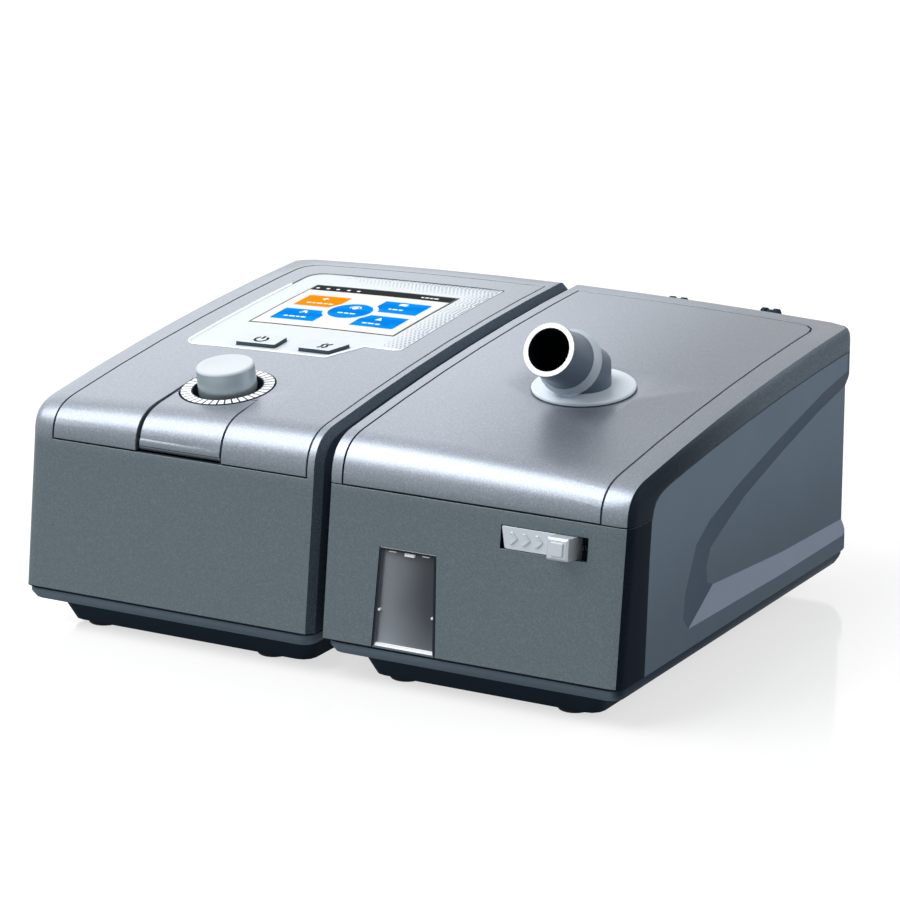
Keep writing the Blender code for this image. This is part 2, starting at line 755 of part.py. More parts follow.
def base_tray(name, unit):
    """The dark base: a band under the housing and a tapered plinth that stops short of the rear."""
    low_x, high_x = unit.left + BAND_INSET, unit.right - BAND_INSET
    low_y, high_y = FRONT_Y + BAND_INSET, REAR_Y - BAND_INSET
    if unit.outer == "left":
        low_px, high_px = low_x + PLINTH_INSET, high_x - WALL
    else:
        low_px, high_px = low_x + PLINTH_INSET, high_x - PLINTH_INSET + WALL
    rings = []
    for share in (0, 1 / 3, 1):
        draw = BAND_EDGE * (1 - math.sin(math.pi / 2 * share))
        z = BAND_BOTTOM + BAND_EDGE * (1 - math.cos(math.pi / 2 * share))
        rings.append(plan(low_x + draw, high_x - draw, low_y + draw, high_y - draw,
                          FRONT_CORNER, REAR_CORNER, z))
    top = BAND_TOP - CLEARANCE
    rings.append(plan(low_x, high_x, low_y, high_y, FRONT_CORNER, REAR_CORNER, top))
    for z in (top, BAND_BOTTOM + WALL):
        rings.append(plan(low_x + WALL, high_x - WALL, low_y + WALL, high_y - WALL,
                          FRONT_CORNER - WALL, REAR_CORNER - WALL, z))
    tray = loft(name, rings)
    plinth_back = REAR_Y - PLINTH_FROM_REAR
    plinth = loft("plinth", [
        plan(low_px + draw, high_px - draw, FRONT_Y + PLINTH_FRONT + draw, plinth_back - draw,
             PLINTH_CORNER, PLINTH_CORNER, z)
        for draw, z in ((PLINTH_TAPER, FEET_HEIGHT), (0, BAND_BOTTOM + SAMPLE))])
    join(tray, plinth)
    draw = PLINTH_TAPER + WALL
    cut(tray, loft("hollow", [
        plan(low_px + draw, high_px - draw, FRONT_Y + PLINTH_FRONT + draw, plinth_back - draw,
             PLINTH_CORNER - WALL, PLINTH_CORNER - WALL, z)
        for z in (TRAY_FLOOR, BAND_TOP + OVERRUN)]))
    for x, y, z in foot_places(unit):
        place = Matrix.Translation((x, y, z))
        radius = FOOT_STEM + CLEARANCE
        hole = turned("hole", [(radius, -OVERRUN), (radius, OVERRUN + WALL)], place, SMALL_STEPS)
        cut(tray, hole)
    for share in TONGUE_DEPTHS_SHARE:
        cut(tray, tongue("slot", share, CLEARANCE))
    return finished(tray, "dark_plastic")


def tongue(name, share, fit):
    """A flat tongue that bridges the gap between the two bases."""
    y = FRONT_Y + BODY_DEPTH * share
    low = (BLOWER_END - TONGUE_REACH - fit, y - TONGUE_LENGTH / 2 - fit, TONGUE_RISE - fit)
    high = (HUMIDIFIER_X + TONGUE_REACH + fit, y + TONGUE_LENGTH / 2 + fit, TONGUE_RISE + TONGUE_HEIGHT + fit)
    return box(name, low, high)


def feet(prefix, unit):
    for index, (x, y, z) in enumerate(foot_places(unit)):
        top = z - CLEARANCE
        edge = FOOT_RADIUS - FEET_HEIGHT / 4
        profile = [(edge, 0), (FOOT_RADIUS, FEET_HEIGHT / 4), (FOOT_RADIUS, top),
                   (FOOT_STEM, top), (FOOT_STEM, top + FOOT_STEM_LENGTH)]
        foot = turned(f"{prefix}_foot_{index + 1}", profile, Matrix.Translation((x, y, 0)), MEDIUM_STEPS)
        finished(foot, "rubber")


# Blower unit

KNOB_FRAME = surface_frame(BLOWER_X + KNOB_FROM_SIDE, FRONT_Y + KNOB_DEPTH)
BEZEL_X = BLOWER_X + BEZEL_FROM_SIDE
DOOR_X = BLOWER_X + DOOR_FROM_SIDE
DOOR_END = DOOR_X + DOOR_WIDTH
DOOR_AXIS = Vector((
    (DOOR_X + DOOR_END) / 2,
    FRONT_Y + lean(SEAM_HEIGHT) + DOOR_ROLL,
    SEAM_HEIGHT + SEAM_GAP + DOOR_ROLL,
))


def bezel_corners():
    left, front, rear = BEZEL_X, FRONT_Y + BEZEL_FRONT, FRONT_Y + BEZEL_REAR
    right = left + BEZEL_WIDTH
    step = front + BEZEL_STEP
    small = BEZEL_ROUND / 3
    return [(left, front, BEZEL_ROUND), (left + BEZEL_STEP_START, front, small),
            (left + BEZEL_STEP_END, step, small), (right, step, small / 2),
            (right, rear, small / 2), (left, rear, BEZEL_ROUND)]


def screen_corners():
    left, front = BEZEL_X + SCREEN_FROM_BEZEL, FRONT_Y + SCREEN_FRONT
    right, rear = left + SCREEN_WIDTH, front + SCREEN_LENGTH
    return [(left, front, 0), (right, front, 0), (right, rear, 0), (left, rear, 0)]


def button_corners(kind):
    front = FRONT_Y + BUTTON_FRONT
    rear = front + BUTTON_LENGTH
    if kind == "power":
        left, width, slant = BEZEL_X + POWER_FROM_BEZEL, POWER_WIDTH, 0
    else:
        left, width, slant = BEZEL_X + MODE_FROM_BEZEL, MODE_WIDTH, MODE_SLANT
    round_off = BUTTON_RIM / 2
    return [(left, front, round_off), (left + width, front, round_off),
            (left + width + slant, rear, round_off), (left, rear, round_off)]


def middle_of(corners):
    return (sum(c[0] for c in corners) / len(corners), sum(c[1] for c in corners) / len(corners))


def slab(name, corners, rise, sink):
    """A flat-sided piece whose top and bottom follow the surface at a rise above it and a sink below."""
    outline = rounded(corners, steps=COARSE_STEPS)
    levels = (-sink, rise)
    return loft(name, [[(x, y, top_at(x, y) + level) for x, y in outline] for level in levels])


def port_frame(x):
    """The air port's axis through a docking wall."""
    return Matrix.Translation((x, FRONT_Y + PORT_DEPTH, PORT_HEIGHT)) @ Matrix.Rotation(math.pi / 2, 4, "Y")


def blower_housing():
    shell = envelope("blower_housing", BLOWER)
    cut(shell, envelope("inside", BLOWER, WALL, WALL, WALL, WALL, TRAY_FLOOR, COARSE_STEPS))
    opening = panel_outline(BLOWER, COVER_MARGIN, COVER_DOCK_MARGIN, 0)
    cut(shell, prism("opening", opening, SEAM_HEIGHT, crest(BODY_DEPTH) + OVERRUN))
    radius = DUCT_RADIUS + CLEARANCE
    cut(shell, turned("port", [(radius, -OVERRUN - WALL), (radius, OVERRUN)], port_frame(BLOWER_END)))
    left, right, low, high = filter_window(0)
    cut(shell, box("filter_hole", (left, REAR_Y - WALL - OVERRUN, low), (right, REAR_Y + OVERRUN, high)))
    cut(shell, socket_block("socket_hole", SOCKET_WIDTH, SOCKET_TALL, CLEARANCE, OVERRUN + WALL, OVERRUN))
    return finished(shell, "silver_paint")


def filter_window(shrink):
    left = BLOWER_X + FILTER_FROM_SIDE + shrink
    low = FILTER_BOTTOM + shrink
    return (left, left + FILTER_WIDTH - 2 * shrink, low, low + FILTER_HEIGHT - 2 * shrink)


def socket_block(name, width, tall, grow, inwards, outwards, rounding=0):
    x, z = BLOWER_X + SOCKET_FROM_SIDE, SOCKET_HEIGHT
    half_w, half_t = width / 2 + grow, tall / 2 + grow
    corners = [(x - half_w, z - half_t, rounding), (x + half_w, z - half_t, rounding),
               (x + half_w, z + half_t, rounding), (x - half_w, z + half_t, rounding)]
    return prism(name, rounded(corners), REAR_Y - inwards, REAR_Y + outwards, axis="Y")


def top_cover():
    shrink = SEAM_GAP
    outline = panel_outline(BLOWER, COVER_MARGIN, COVER_DOCK_MARGIN, shrink)
    cover = skin("top_cover", BLOWER, 0, WALL, outline, SEAM_HEIGHT + shrink)
    ceiling = crest(BODY_DEPTH) + OVERRUN
    board_top = KNOB_FRAME @ Matrix.Translation((0, 0, -BOARD_DROP))
    for side, along in boss_places():
        height = BOARD_DROP - WALL / 2 + (KNOB_FRAME.inverted() @ surface_point(side, along)).z
        place = board_top @ Matrix.Translation((side, along, 0))
        join(cover, turned("boss", [(BOSS_RADIUS, CLEARANCE), (BOSS_RADIUS, height)], place, SMALL_STEPS))
    for low_x, high_x in ear_spans():
        radius = DOOR_ROLL - CLEARANCE
        join(cover, turned("ear", [(radius, low_x), (radius, high_x)], roll_frame(), SMALL_STEPS))
    cut(cover, prism("bezel_hole", rounded(grown(bezel_corners(), CLEARANCE)), SEAM_HEIGHT, ceiling))
    radius = DIAL_RADIUS + CLEARANCE
    cut(cover, turned("dial_hole", [(radius, -WALL - OVERRUN), (radius, OVERRUN)], KNOB_FRAME, LARGE_STEPS))
    cut(cover, prism("door_hole", door_outline(CLEARANCE, DOOR_GROOVE), SEAM_HEIGHT - OVERRUN, ceiling))
    pin = DOOR_PIN + CLEARANCE
    reach = DOOR_WIDTH / 2 + DOOR_GROOVE + DOOR_PIN_LENGTH + CLEARANCE
    cut(cover, turned("pin_hole", [(pin, -reach), (pin, reach)], roll_frame(), SMALL_STEPS))
    groove_front = KNOB_FRAME.translation.y - DOOR_BACK - CLEARANCE - SAMPLE
    groove = [(DOOR_X - DOOR_GROOVE, groove_front), (DOOR_X, groove_front),
              (DOOR_X, groove_front + GROOVE_RUN), (DOOR_X - DOOR_GROOVE, groove_front + GROOVE_RUN)]
    cut(cover, loft("groove", [[(x, y, top_at(x, y) + level) for x, y in groove]
                               for level in (-GROOVE_SINK, OVERRUN)]))
    return finished(cover, "silver_paint")


def surface_point(side, along):
    """The point of the top that lies over a place on the control board."""
    place = KNOB_FRAME @ Vector((side, along, 0))
    return Vector((place.x, place.y, top_at(place.x, place.y)))


def boss_places():
    side, back = BOARD_SIDE - BOSS_INSET, BOARD_BACK - BOSS_INSET
    return [(-side, back), (side, back), (-side, -BOSS_INSET / 2), (side, -BOSS_INSET / 2)]


def roll_frame():
    """The card door's axis, its Z along X, measured from the door's middle."""
    return Matrix.Translation(DOOR_AXIS) @ Matrix.Rotation(math.pi / 2, 4, "Y")


def ear_spans():
    half = DOOR_WIDTH / 2
    left = -half - DOOR_GROOVE - CLEARANCE
    right = half + CLEARANCE
    return [(left - DOOR_EAR, left), (right, right + DOOR_EAR)]


def door_outline(grow, groove):
    """The card door from above, up to its rear edge; the finger groove widens its opening on the left."""
    ahead = FRONT_Y - OVERRUN
    back = KNOB_FRAME.translation.y - DOOR_BACK + grow
    left, right = DOOR_X - groove - (0 if groove else grow), DOOR_END + grow
    return [(left, ahead), (right, ahead), (right, back), (left, back)]


def card_door():
    outline = door_outline(0, 0)
    door = skin("card_door", BLOWER, 0, WALL, outline, DOOR_AXIS.z)
    half = DOOR_WIDTH / 2
    join(door, turned("roll", [(DOOR_ROLL, -half), (DOOR_ROLL, half)], roll_frame(), MEDIUM_STEPS))
    left, right = half + DOOR_GROOVE + DOOR_PIN_LENGTH, half + CLEARANCE + DOOR_PIN_LENGTH
    join(door, turned("pin", [(DOOR_PIN, -left), (DOOR_PIN, right)], roll_frame(), SMALL_STEPS))
    radius = DIAL_RADIUS + SEAM_GAP
    bite = turned("bite", [(radius, -OVERRUN - WALL), (radius, OVERRUN)], KNOB_FRAME, LARGE_STEPS)
    cut(door, bite)
    return pivoted(finished(door, "silver_paint"), DOOR_AXIS)


def display_bezel():
    outline = rounded(bezel_corners())
    bezel = skin("display_bezel", BLOWER, BEZEL_SINK, WALL, outline, SEAM_HEIGHT)
    ceiling = crest(BODY_DEPTH) + OVERRUN
    cut(bezel, prism("screen_hole", rounded(grown(screen_corners(), CLEARANCE)), SEAM_HEIGHT, ceiling))
    for kind in ("power", "mode"):
        outline = rounded(grown(button_corners(kind), CLEARANCE), steps=COARSE_STEPS)
        cut(bezel, prism("button_hole", outline, SEAM_HEIGHT, ceiling))
    return finished(bezel, "white_plastic")


def screen_window():
    left, front = screen_corners()[0][:2]
    right, rear = screen_corners()[2][:2]
    steps = 4
    rings = []
    for index in range(steps + 1):
        y = front + (rear - front) * index / steps
        upper = [(x, y, top_at(x, y) - BEZEL_SINK) for x in spread(left, right, steps)]
        lower = [(x, y, z - SCREEN_THICKNESS) for x, y, z in upper[::-1]]
        rings.append(upper + lower)
    return finished(loft("screen_window", rings), "glass")


def spread(low, high, steps):
    return [low + (high - low) * index / steps for index in range(steps + 1)]


def board_box(name, low, high):
    """A box given in the control board's frame, whose zero height is the board's top."""
    frame = KNOB_FRAME @ Matrix.Translation((0, 0, -BOARD_DROP))
    return in_frame(box(name, low, high), frame)


def board_place(x, y):
    """Side and along on the control board under a point of the top, and the height of the top there."""
    frame = KNOB_FRAME @ Matrix.Translation((0, 0, -BOARD_DROP))
    return frame.inverted() @ Vector((x, y, top_at(x, y)))


def control_board():
    board = board_box("control_board", (-BOARD_SIDE, -BOARD_FRONT, -BOARD_THICKNESS),
                      (BOARD_SIDE, BOARD_BACK, 0))
    return finished(board, "circuit_board")


def display_module():
    left, front = screen_corners()[0][:2]
    right, rear = screen_corners()[2][:2]
    low, high = board_place(left, front), board_place(right, rear)
    border = DISPLAY_BORDER
    module = board_box("display_module", (low.x - border, low.y - border, CLEARANCE),
                       (high.x + border, high.y + border, DISPLAY_THICKNESS))
    return finished(module, "steel")


def button(kind):
    """A key cap with a rim that keeps it in the bezel and a post down to its switch."""
    corners = button_corners(kind)
    rim_top = WALL + CLEARANCE + BEZEL_SINK
    cap = slab(f"{kind}_button", corners, BUTTON_RISE, rim_top + BUTTON_RIM_THICKNESS / 2)
    join(cap, slab("rim", grown(corners, BUTTON_RIM), -rim_top, rim_top + BUTTON_RIM_THICKNESS))
    x, y = middle_of(corners)
    bottom = switch_top(kind) + BUTTON_TRAVEL + CLEARANCE
    post_top = top_at(x, y) - rim_top - BUTTON_RIM_THICKNESS / 2
    post = box("post", (x - SWITCH_SIDE / 4, y - SWITCH_SIDE / 4, bottom),
               (x + SWITCH_SIDE / 4, y + SWITCH_SIDE / 4, post_top))
    join(cap, post)
    return pivoted(finished(cap, "white_plastic"), (x, y, top_at(x, y)))


def switch_top(kind):
    """World height of the highest corner of a key switch."""
    x, y = middle_of(button_corners(kind))
    place = board_place(x, y)
    frame = KNOB_FRAME @ Matrix.Translation((0, 0, -BOARD_DROP))
    half = SWITCH_SIDE / 2
    return max((frame @ Vector((place.x + half * i, place.y + half * j, SWITCH_HEIGHT))).z
               for i in (-1, 1) for j in (-1, 1))


def key_switch(kind):
    x, y = middle_of(button_corners(kind))
    place = board_place(x, y)
    half = SWITCH_SIDE / 2
    switch = board_box(f"{kind}_switch", (place.x - half, place.y - half, CLEARANCE),
                       (place.x + half, place.y + half, SWITCH_HEIGHT))
    return finished(switch, "dark_plastic")


def dial_ring():
    """The ring round the knob, with the well that the knob stands in."""
    bottom = -WELL_DEPTH - DIAL_THICKNESS
    hole = SHAFT_RADIUS + CLEARANCE
    cup = WELL_RADIUS + DIAL_THICKNESS
    profile = [(DIAL_RADIUS, 0), (DIAL_RADIUS, -DIAL_THICKNESS), (cup, -DIAL_THICKNESS), (cup, bottom),
               (hole, bottom), (hole, -WELL_DEPTH), (WELL_RADIUS, -WELL_DEPTH), (WELL_RADIUS, 0)]
    ring = turned("dial_ring", profile, KNOB_FRAME, LARGE_STEPS, open_core=True)
    return finished(ring, "dark_plastic")


def selector_knob():
    socket = SHAFT_RADIUS + CLEARANCE
    roof = KNOB_SOCKET - KNOB_SINK
    profile = [(KNOB_RADIUS - KNOB_EDGE, KNOB_RISE), (KNOB_RADIUS, KNOB_RISE - KNOB_EDGE),
               (KNOB_RADIUS, -KNOB_SINK), (socket, -KNOB_SINK), (socket, roof)]
    knob = turned("selector_knob", profile, KNOB_FRAME, LARGE_STEPS)
    return pivoted(finished(knob, "satin_metal"), KNOB_FRAME.translation)


def encoder_shaft():
    top = KNOB_SOCKET - KNOB_SINK - CLEARANCE
    bottom = ENCODER_HEIGHT / 2 - BOARD_DROP
    shaft = turned("encoder_shaft", [(SHAFT_RADIUS, top), (SHAFT_RADIUS, bottom)], KNOB_FRAME, MEDIUM_STEPS)
    return pivoted(finished(shaft, "steel"), KNOB_FRAME.translation)


def push_plunger():
    top = ENCODER_HEIGHT / 2 - BOARD_DROP - CLEARANCE
    bottom = CLEARANCE * 2 + PRESS_TRAVEL - BOARD_DROP
    profile = [(PLUNGER_RADIUS, top), (PLUNGER_RADIUS, bottom)]
    plunger = turned("push_plunger", profile, KNOB_FRAME, SMALL_STEPS)
    return pivoted(finished(plunger, "steel"), KNOB_FRAME.translation)


def encoder_body():
    half = ENCODER_SIDE / 2
    body = board_box("encoder_body", (-half, -half, CLEARANCE), (half, half, ENCODER_HEIGHT))
    bore = SHAFT_RADIUS + CLEARANCE
    frame = KNOB_FRAME @ Matrix.Translation((0, 0, -BOARD_DROP))
    cut(body, turned("bore", [(bore, -OVERRUN), (bore, ENCODER_HEIGHT + OVERRUN)], frame, MEDIUM_STEPS))
    return finished(body, "steel")


def card_reader():
    half = READER_WIDTH / 2
    front, back = -READER_FROM_KNOB - READER_DEPTH / 2, -READER_FROM_KNOB + READER_DEPTH / 2
    reader = board_box("card_reader", (-half, front, CLEARANCE), (half, back, READER_HEIGHT))
    slot = READER_SLOT_WIDTH / 2
    cut(reader, board_box("slot", (-slot, front - OVERRUN, READER_FLOOR),
                          (slot, front + READER_SLOT_DEPTH, READER_FLOOR + READER_SLOT)))
    return finished(reader, "steel")


SCROLL_X = BLOWER_X + SCROLL_FROM_SIDE
SCROLL_Y = FRONT_Y + SCROLL_DEPTH
MAT_TOP = TRAY_FLOOR + CLEARANCE + MAT_THICKNESS
MOTOR_TOP = MAT_TOP + CLEARANCE + MOTOR_HEIGHT
CASING_BOTTOM = MOTOR_TOP + CLEARANCE
CAVITY_BOTTOM = CASING_BOTTOM + CASING_WALL
CAVITY_TOP = CAVITY_BOTTOM + SCROLL_HEIGHT


def blower_casing():
    casing = prism("blower_casing", casing_outline(CASING_WALL), CASING_BOTTOM, CAVITY_TOP)
    cut(casing, prism("cavity", casing_outline(0), CAVITY_BOTTOM, CAVITY_TOP + OVERRUN))
    hole = MOTOR_SHAFT + CLEARANCE
    place = Matrix.Translation((SCROLL_X, SCROLL_Y, CASING_BOTTOM))
    cut(casing, turned("shaft_hole", [(hole, -OVERRUN), (hole, CASING_WALL + OVERRUN)], place, SMALL_STEPS))
    cut(casing, turned("duct_hole", *duct_hole()))
    return finished(casing, "grey_plastic")


def casing_outline(grow):
    """The spiral with its straight outlet, whose end wall takes the round duct."""
    outline = []
    for step in range(SCROLL_STEPS + 1):
        share = step / SCROLL_STEPS
        radius = SCROLL_START + (SCROLL_END - SCROLL_START) * share + grow
        angle = math.pi * (2 * share - 0.5)
        outline.append((SCROLL_X + radius * math.cos(angle), SCROLL_Y + radius * math.sin(angle)))
    outlet = SCROLL_X + SCROLL_OUTLET + grow
    inner_y = outlet_middle() + DUCT_RADIUS + CLEARANCE + grow
    outline.pop(0)
    outline.append((outlet, outline[-1][1]))
    outline.append((outlet, inner_y))
    reach = math.sqrt((SCROLL_START + grow) ** 2 - (SCROLL_Y - inner_y) ** 2)
    angle_at = math.atan2(inner_y - SCROLL_Y, reach)
    while math.atan2(outline[0][1] - SCROLL_Y, outline[0][0] - SCROLL_X) < angle_at:
        outline.pop(0)
    outline.append((SCROLL_X + reach, inner_y))
    return outline


def outlet_middle():
    return SCROLL_Y - SCROLL_END + DUCT_RADIUS + CLEARANCE


def duct_height():
    return CAVITY_BOTTOM + SCROLL_HEIGHT / 2


def duct_hole():
    x = SCROLL_X + SCROLL_OUTLET
    place = Matrix.Translation((x, outlet_middle(), duct_height())) @ Matrix.Rotation(math.pi / 2, 4, "Y")
    radius = DUCT_RADIUS + CLEARANCE
    return [(radius, -OVERRUN), (radius, OVERRUN)], place, MEDIUM_STEPS


def casing_cover():
    bottom = CAVITY_TOP + CLEARANCE
    cover = prism("casing_cover", casing_outline(CASING_WALL), bottom, bottom + CASING_WALL)
    place = Matrix.Translation((SCROLL_X, SCROLL_Y, bottom))
    cut(cover, turned("eye", [(EYE_RADIUS, -OVERRUN), (EYE_RADIUS, CASING_WALL + OVERRUN)], place))
    return finished(cover, "grey_plastic")


def blower_mat():
    reach = MOTOR_RADIUS + MAT_THICKNESS
    corners = [(SCROLL_X + reach * side, SCROLL_Y + reach * end, MAT_THICKNESS)
               for side, end in ((-1, -1), (1, -1), (1, 1), (-1, 1))]
    return finished(prism("blower_mat", rounded(corners), TRAY_FLOOR + CLEARANCE, MAT_TOP), "silicone")


def motor_body():
    place = Matrix.Translation((SCROLL_X, SCROLL_Y, MAT_TOP + CLEARANCE))
    edge = MOTOR_RADIUS - CASING_WALL / 2
    bore = MOTOR_SHAFT + CLEARANCE
    profile = [(edge, 0), (MOTOR_RADIUS, CASING_WALL / 2), (MOTOR_RADIUS, MOTOR_HEIGHT - CASING_WALL / 2),
               (edge, MOTOR_HEIGHT), (bore, MOTOR_HEIGHT), (bore, MOTOR_HEIGHT / 3)]
    return finished(turned("motor_body", profile, place, MEDIUM_STEPS), "steel")


def motor_shaft():
    bottom = MAT_TOP + CLEARANCE + MOTOR_HEIGHT / 3 + CLEARANCE
    top = CAVITY_BOTTOM + IMPELLER_GAP + IMPELLER_HEIGHT - CLEARANCE
    place = Matrix.Translation((SCROLL_X, SCROLL_Y, 0))
    shaft = turned("motor_shaft", [(MOTOR_SHAFT, bottom), (MOTOR_SHAFT, top)], place, SMALL_STEPS)
    return pivoted(finished(shaft, "steel"), (SCROLL_X, SCROLL_Y, bottom))


def impeller():
    """A back plate with a hub and blades that lean backwards as they run outwards."""
    bottom = CAVITY_BOTTOM + IMPELLER_GAP
    place = Matrix.Translation((SCROLL_X, SCROLL_Y, bottom))
    bore = MOTOR_SHAFT + CLEARANCE
    profile = [(IMPELLER_RADIUS, 0), (IMPELLER_RADIUS, IMPELLER_DISC), (IMPELLER_HUB, IMPELLER_DISC * 2),
               (IMPELLER_HUB * 2 / 3, IMPELLER_HEIGHT), (bore, IMPELLER_HEIGHT), (bore, 0)]
    wheel = turned("impeller", profile, place, LARGE_STEPS, open_core=True)
    for index in range(BLADE_COUNT):
        join(wheel, in_frame(blade(), place @ Matrix.Rotation(2 * math.pi * index / BLADE_COUNT, 4, "Z")))
    return pivoted(finished(wheel, "white_plastic"), (SCROLL_X, SCROLL_Y, bottom))


def blade():
    """One blade from the hub to the rim: its height falls outwards, its line sweeps back."""
    rings = []
    for step in range(BLADE_STEPS + 1):
        share = step / BLADE_STEPS
        start = IMPELLER_HUB - BLADE_THICKNESS * 2
        radius = start + (IMPELLER_RADIUS - SAMPLE - start) * share
        angle = -math.radians(BLADE_SWEEP_DEGREES) * share
        out = Vector((math.cos(angle), math.sin(angle), 0))
        across = Vector((-out.y, out.x, 0))
        height = IMPELLER_HEIGHT * (1 - share * share / 3)
        half = BLADE_THICKNESS / 2
        low = IMPELLER_DISC / 2
        rings.append([out * radius + across * side + Vector((0, 0, z))
                      for side, z in ((-half, low), (half, low), (half, height), (-half, height))])
    return loft("blade", rings)


def outlet_duct():
    """The rising duct from the scroll to the dock side, through the housing's wall and half the gap."""
    start = Vector((SCROLL_X + SCROLL_OUTLET - CASING_WALL / 2, outlet_middle(), duct_height()))
    end = Vector((GAP_MIDDLE - CLEARANCE / 2, FRONT_Y + PORT_DEPTH, PORT_HEIGHT))
    reach = Vector(((end.x - start.x) * DUCT_REACH_SHARE, 0, 0))
    inner_end = end - Vector((DUCT_EMBED, 0, 0))
    inner_start = start + Vector((DUCT_EMBED, 0, 0))
    centres = [start]
    for share in spread(0, 1, DUCT_STEPS):
        centres.append(bezier(inner_start, inner_start + reach, inner_end - reach, inner_end, share))
    centres.append(end)
    return finished(tube("outlet_duct", centres, DUCT_RADIUS, DUCT_RADIUS - DUCT_WALL), "silicone")


def filter_cover():
    """The louvred cover in the rear wall."""
    left, right, low, high = filter_window(CLEARANCE)
    cover = box("filter_cover", (left, REAR_Y - FILTER_COVER_THICKNESS, low), (right, REAR_Y, high))
    pitch = (high - low - 2 * LOUVRE_BORDER) / LOUVRE_COUNT
    for index in range(LOUVRE_COUNT):
        bottom = low + LOUVRE_BORDER + pitch * (index + (1 - LOUVRE_SHARE) / 2)
        cut(cover, box("louvre", (left + LOUVRE_BORDER, REAR_Y - OVERRUN, bottom),
                       (right - LOUVRE_BORDER, REAR_Y + OVERRUN, bottom + pitch * LOUVRE_SHARE)))
    return finished(cover, "slate_plastic")


def air_filter():
    left, right, low, high = filter_window(CLEARANCE)
    back = REAR_Y - FILTER_COVER_THICKNESS - CLEARANCE
    return finished(box("air_filter", (left, back - FILTER_THICKNESS, low), (right, back, high)), "foam")


def power_socket():
    socket = socket_block("power_socket", SOCKET_WIDTH, SOCKET_TALL, 0, SOCKET_BODY, 0)
    cut(socket, socket_block("recess", SOCKET_RECESS_WIDTH, SOCKET_RECESS_TALL, 0,
                             SOCKET_RECESS_DEPTH, OVERRUN, SOCKET_ROUND))
    for side in (-1, 1):
        x = BLOWER_X + SOCKET_FROM_SIDE + side * SOCKET_PIN_SPREAD
        place = Matrix.Translation((x, REAR_Y, SOCKET_HEIGHT)) @ Matrix.Rotation(-math.pi / 2, 4, "X")
        pin = [(SOCKET_PIN, -SOCKET_RECESS_DEPTH - SAMPLE), (SOCKET_PIN, -SOCKET_RECESS_DEPTH / 4)]
        join(socket, turned("pin", pin, place, SMALL_STEPS))
    return finished(socket, "dark_plastic")


# Humidifier

ELBOW_FRAME = surface_frame(HUMIDIFIER_X + ELBOW_FROM_DOCK, FRONT_Y + ELBOW_DEPTH)
HINGE_AXIS = Vector((
    HUMIDIFIER_X + (HINGE_FIRST + HINGE_SECOND) / 2,
    REAR_Y + HINGE_BEHIND,
    CREST_REAR - HINGE_DROP,
))


def seam_line(shift):
    """The line between lid and housing from the side, as (y, z), moved back and down by a distance."""
    points = [Vector((-OVERRUN, SEAM_HEIGHT))]
    after = PANEL_FRONT_TOP + BAND_BEND
    start, end = Vector((PANEL_FRONT_TOP, SEAM_HEIGHT)), Vector((after, band_bottom(after)))
    slope = (band_bottom(after + SAMPLE) - band_bottom(after)) / SAMPLE
    rise = end.y - start.y
    first = start + Vector((BAND_BEND * BAND_START_SHARE, rise * NOSE_RISE_SHARE))
    second = end - Vector((1, slope)) * (BAND_BEND * NOSE_RISE_SHARE)
    points += [bezier(start, first, second, end, share) for share in spread(0, 1, BAND_BEND_STEPS)]
    behind = BODY_DEPTH + HINGE_BEHIND * 4
    for share in spread(0, 1, BAND_BEND_STEPS)[1:]:
        depth = after + (behind - after) * share
        points.append(Vector((depth, band_bottom(depth))))
    return [(FRONT_Y + point.x + shift, point.y - shift) for point in points]


def band_bottom(depth):
    """Lower edge of the lid's side band, which grows slowly towards the rear."""
    share = depth / BODY_DEPTH
    height = BAND_HEIGHT_FRONT + (BAND_HEIGHT_REAR - BAND_HEIGHT_FRONT) * share
    return crest(depth) - crown(HUMIDIFIER_END) - height


def above_seam(name, shift):
    line = seam_line(shift)
    ceiling = crest(BODY_DEPTH) + OVERRUN * 2
    front = line[0][0] - OVERRUN
    outline = line + [(line[-1][0], ceiling), (front, ceiling), (front, line[0][1])]
    return prism(name, outline, HUMIDIFIER_X - OVERRUN, HUMIDIFIER_END + OVERRUN, axis="X")


def side_panel_block(name, grow, outwards):
    """The block that the side panel fills, from its front edge to behind the rear."""
    front = [(FRONT_Y + depth - grow, z) for depth, z in (
        (PANEL_FRONT_BOTTOM, BAND_TOP - OVERRUN), (PANEL_FRONT_MIDDLE, (BAND_TOP + 3 * SEAM_HEIGHT) / 4),
        (PANEL_FRONT_TOP, SEAM_HEIGHT + SEAM_GAP))]
    line = [point for point in seam_line(0) if point[0] > front[-1][0] + SAMPLE + grow]
    ceiling = crest(BODY_DEPTH) + OVERRUN
    behind = line[-1][0]
    outline = front + [(front[-1][0], ceiling), (behind, ceiling), (behind, BAND_TOP - OVERRUN)]
    inner = HUMIDIFIER_END - PANEL_THICKNESS - grow
    return prism(name, outline, inner, HUMIDIFIER_END + outwards, axis="X")


def side_panel():
    """The side panel: its long recess opens through the rear edge, wide and sloping along its bottom."""
    panel = envelope("side_panel", HUMIDIFIER)
    common(panel, side_panel_block("block", 0, OVERRUN))
    cut(panel, above_seam("above", SEAM_GAP / 2))
    cut(panel, side_recess())
    return finished(panel, "slate_plastic", smooth_degrees=RECESS_DEGREES)


def side_recess():
    """The recess's cutter: an outer outline on the side's face, a smaller one on its floor."""
    run = BODY_DEPTH - RECESS_START
    rise = RECESS_TOP - RECESS_BOTTOM
    faces = []
    for shares, x in ((RECESS_OUTER_SHARES, HUMIDIFIER_END + OVERRUN), (RECESS_OUTER_SHARES, HUMIDIFIER_END),
                      (RECESS_INNER_SHARES, HUMIDIFIER_END - RECESS_DEPTH)):
        faces.append([(x, FRONT_Y + RECESS_START + run * along, RECESS_BOTTOM + rise * up)
                      for along, up in shares])
    return loft("recess", faces)


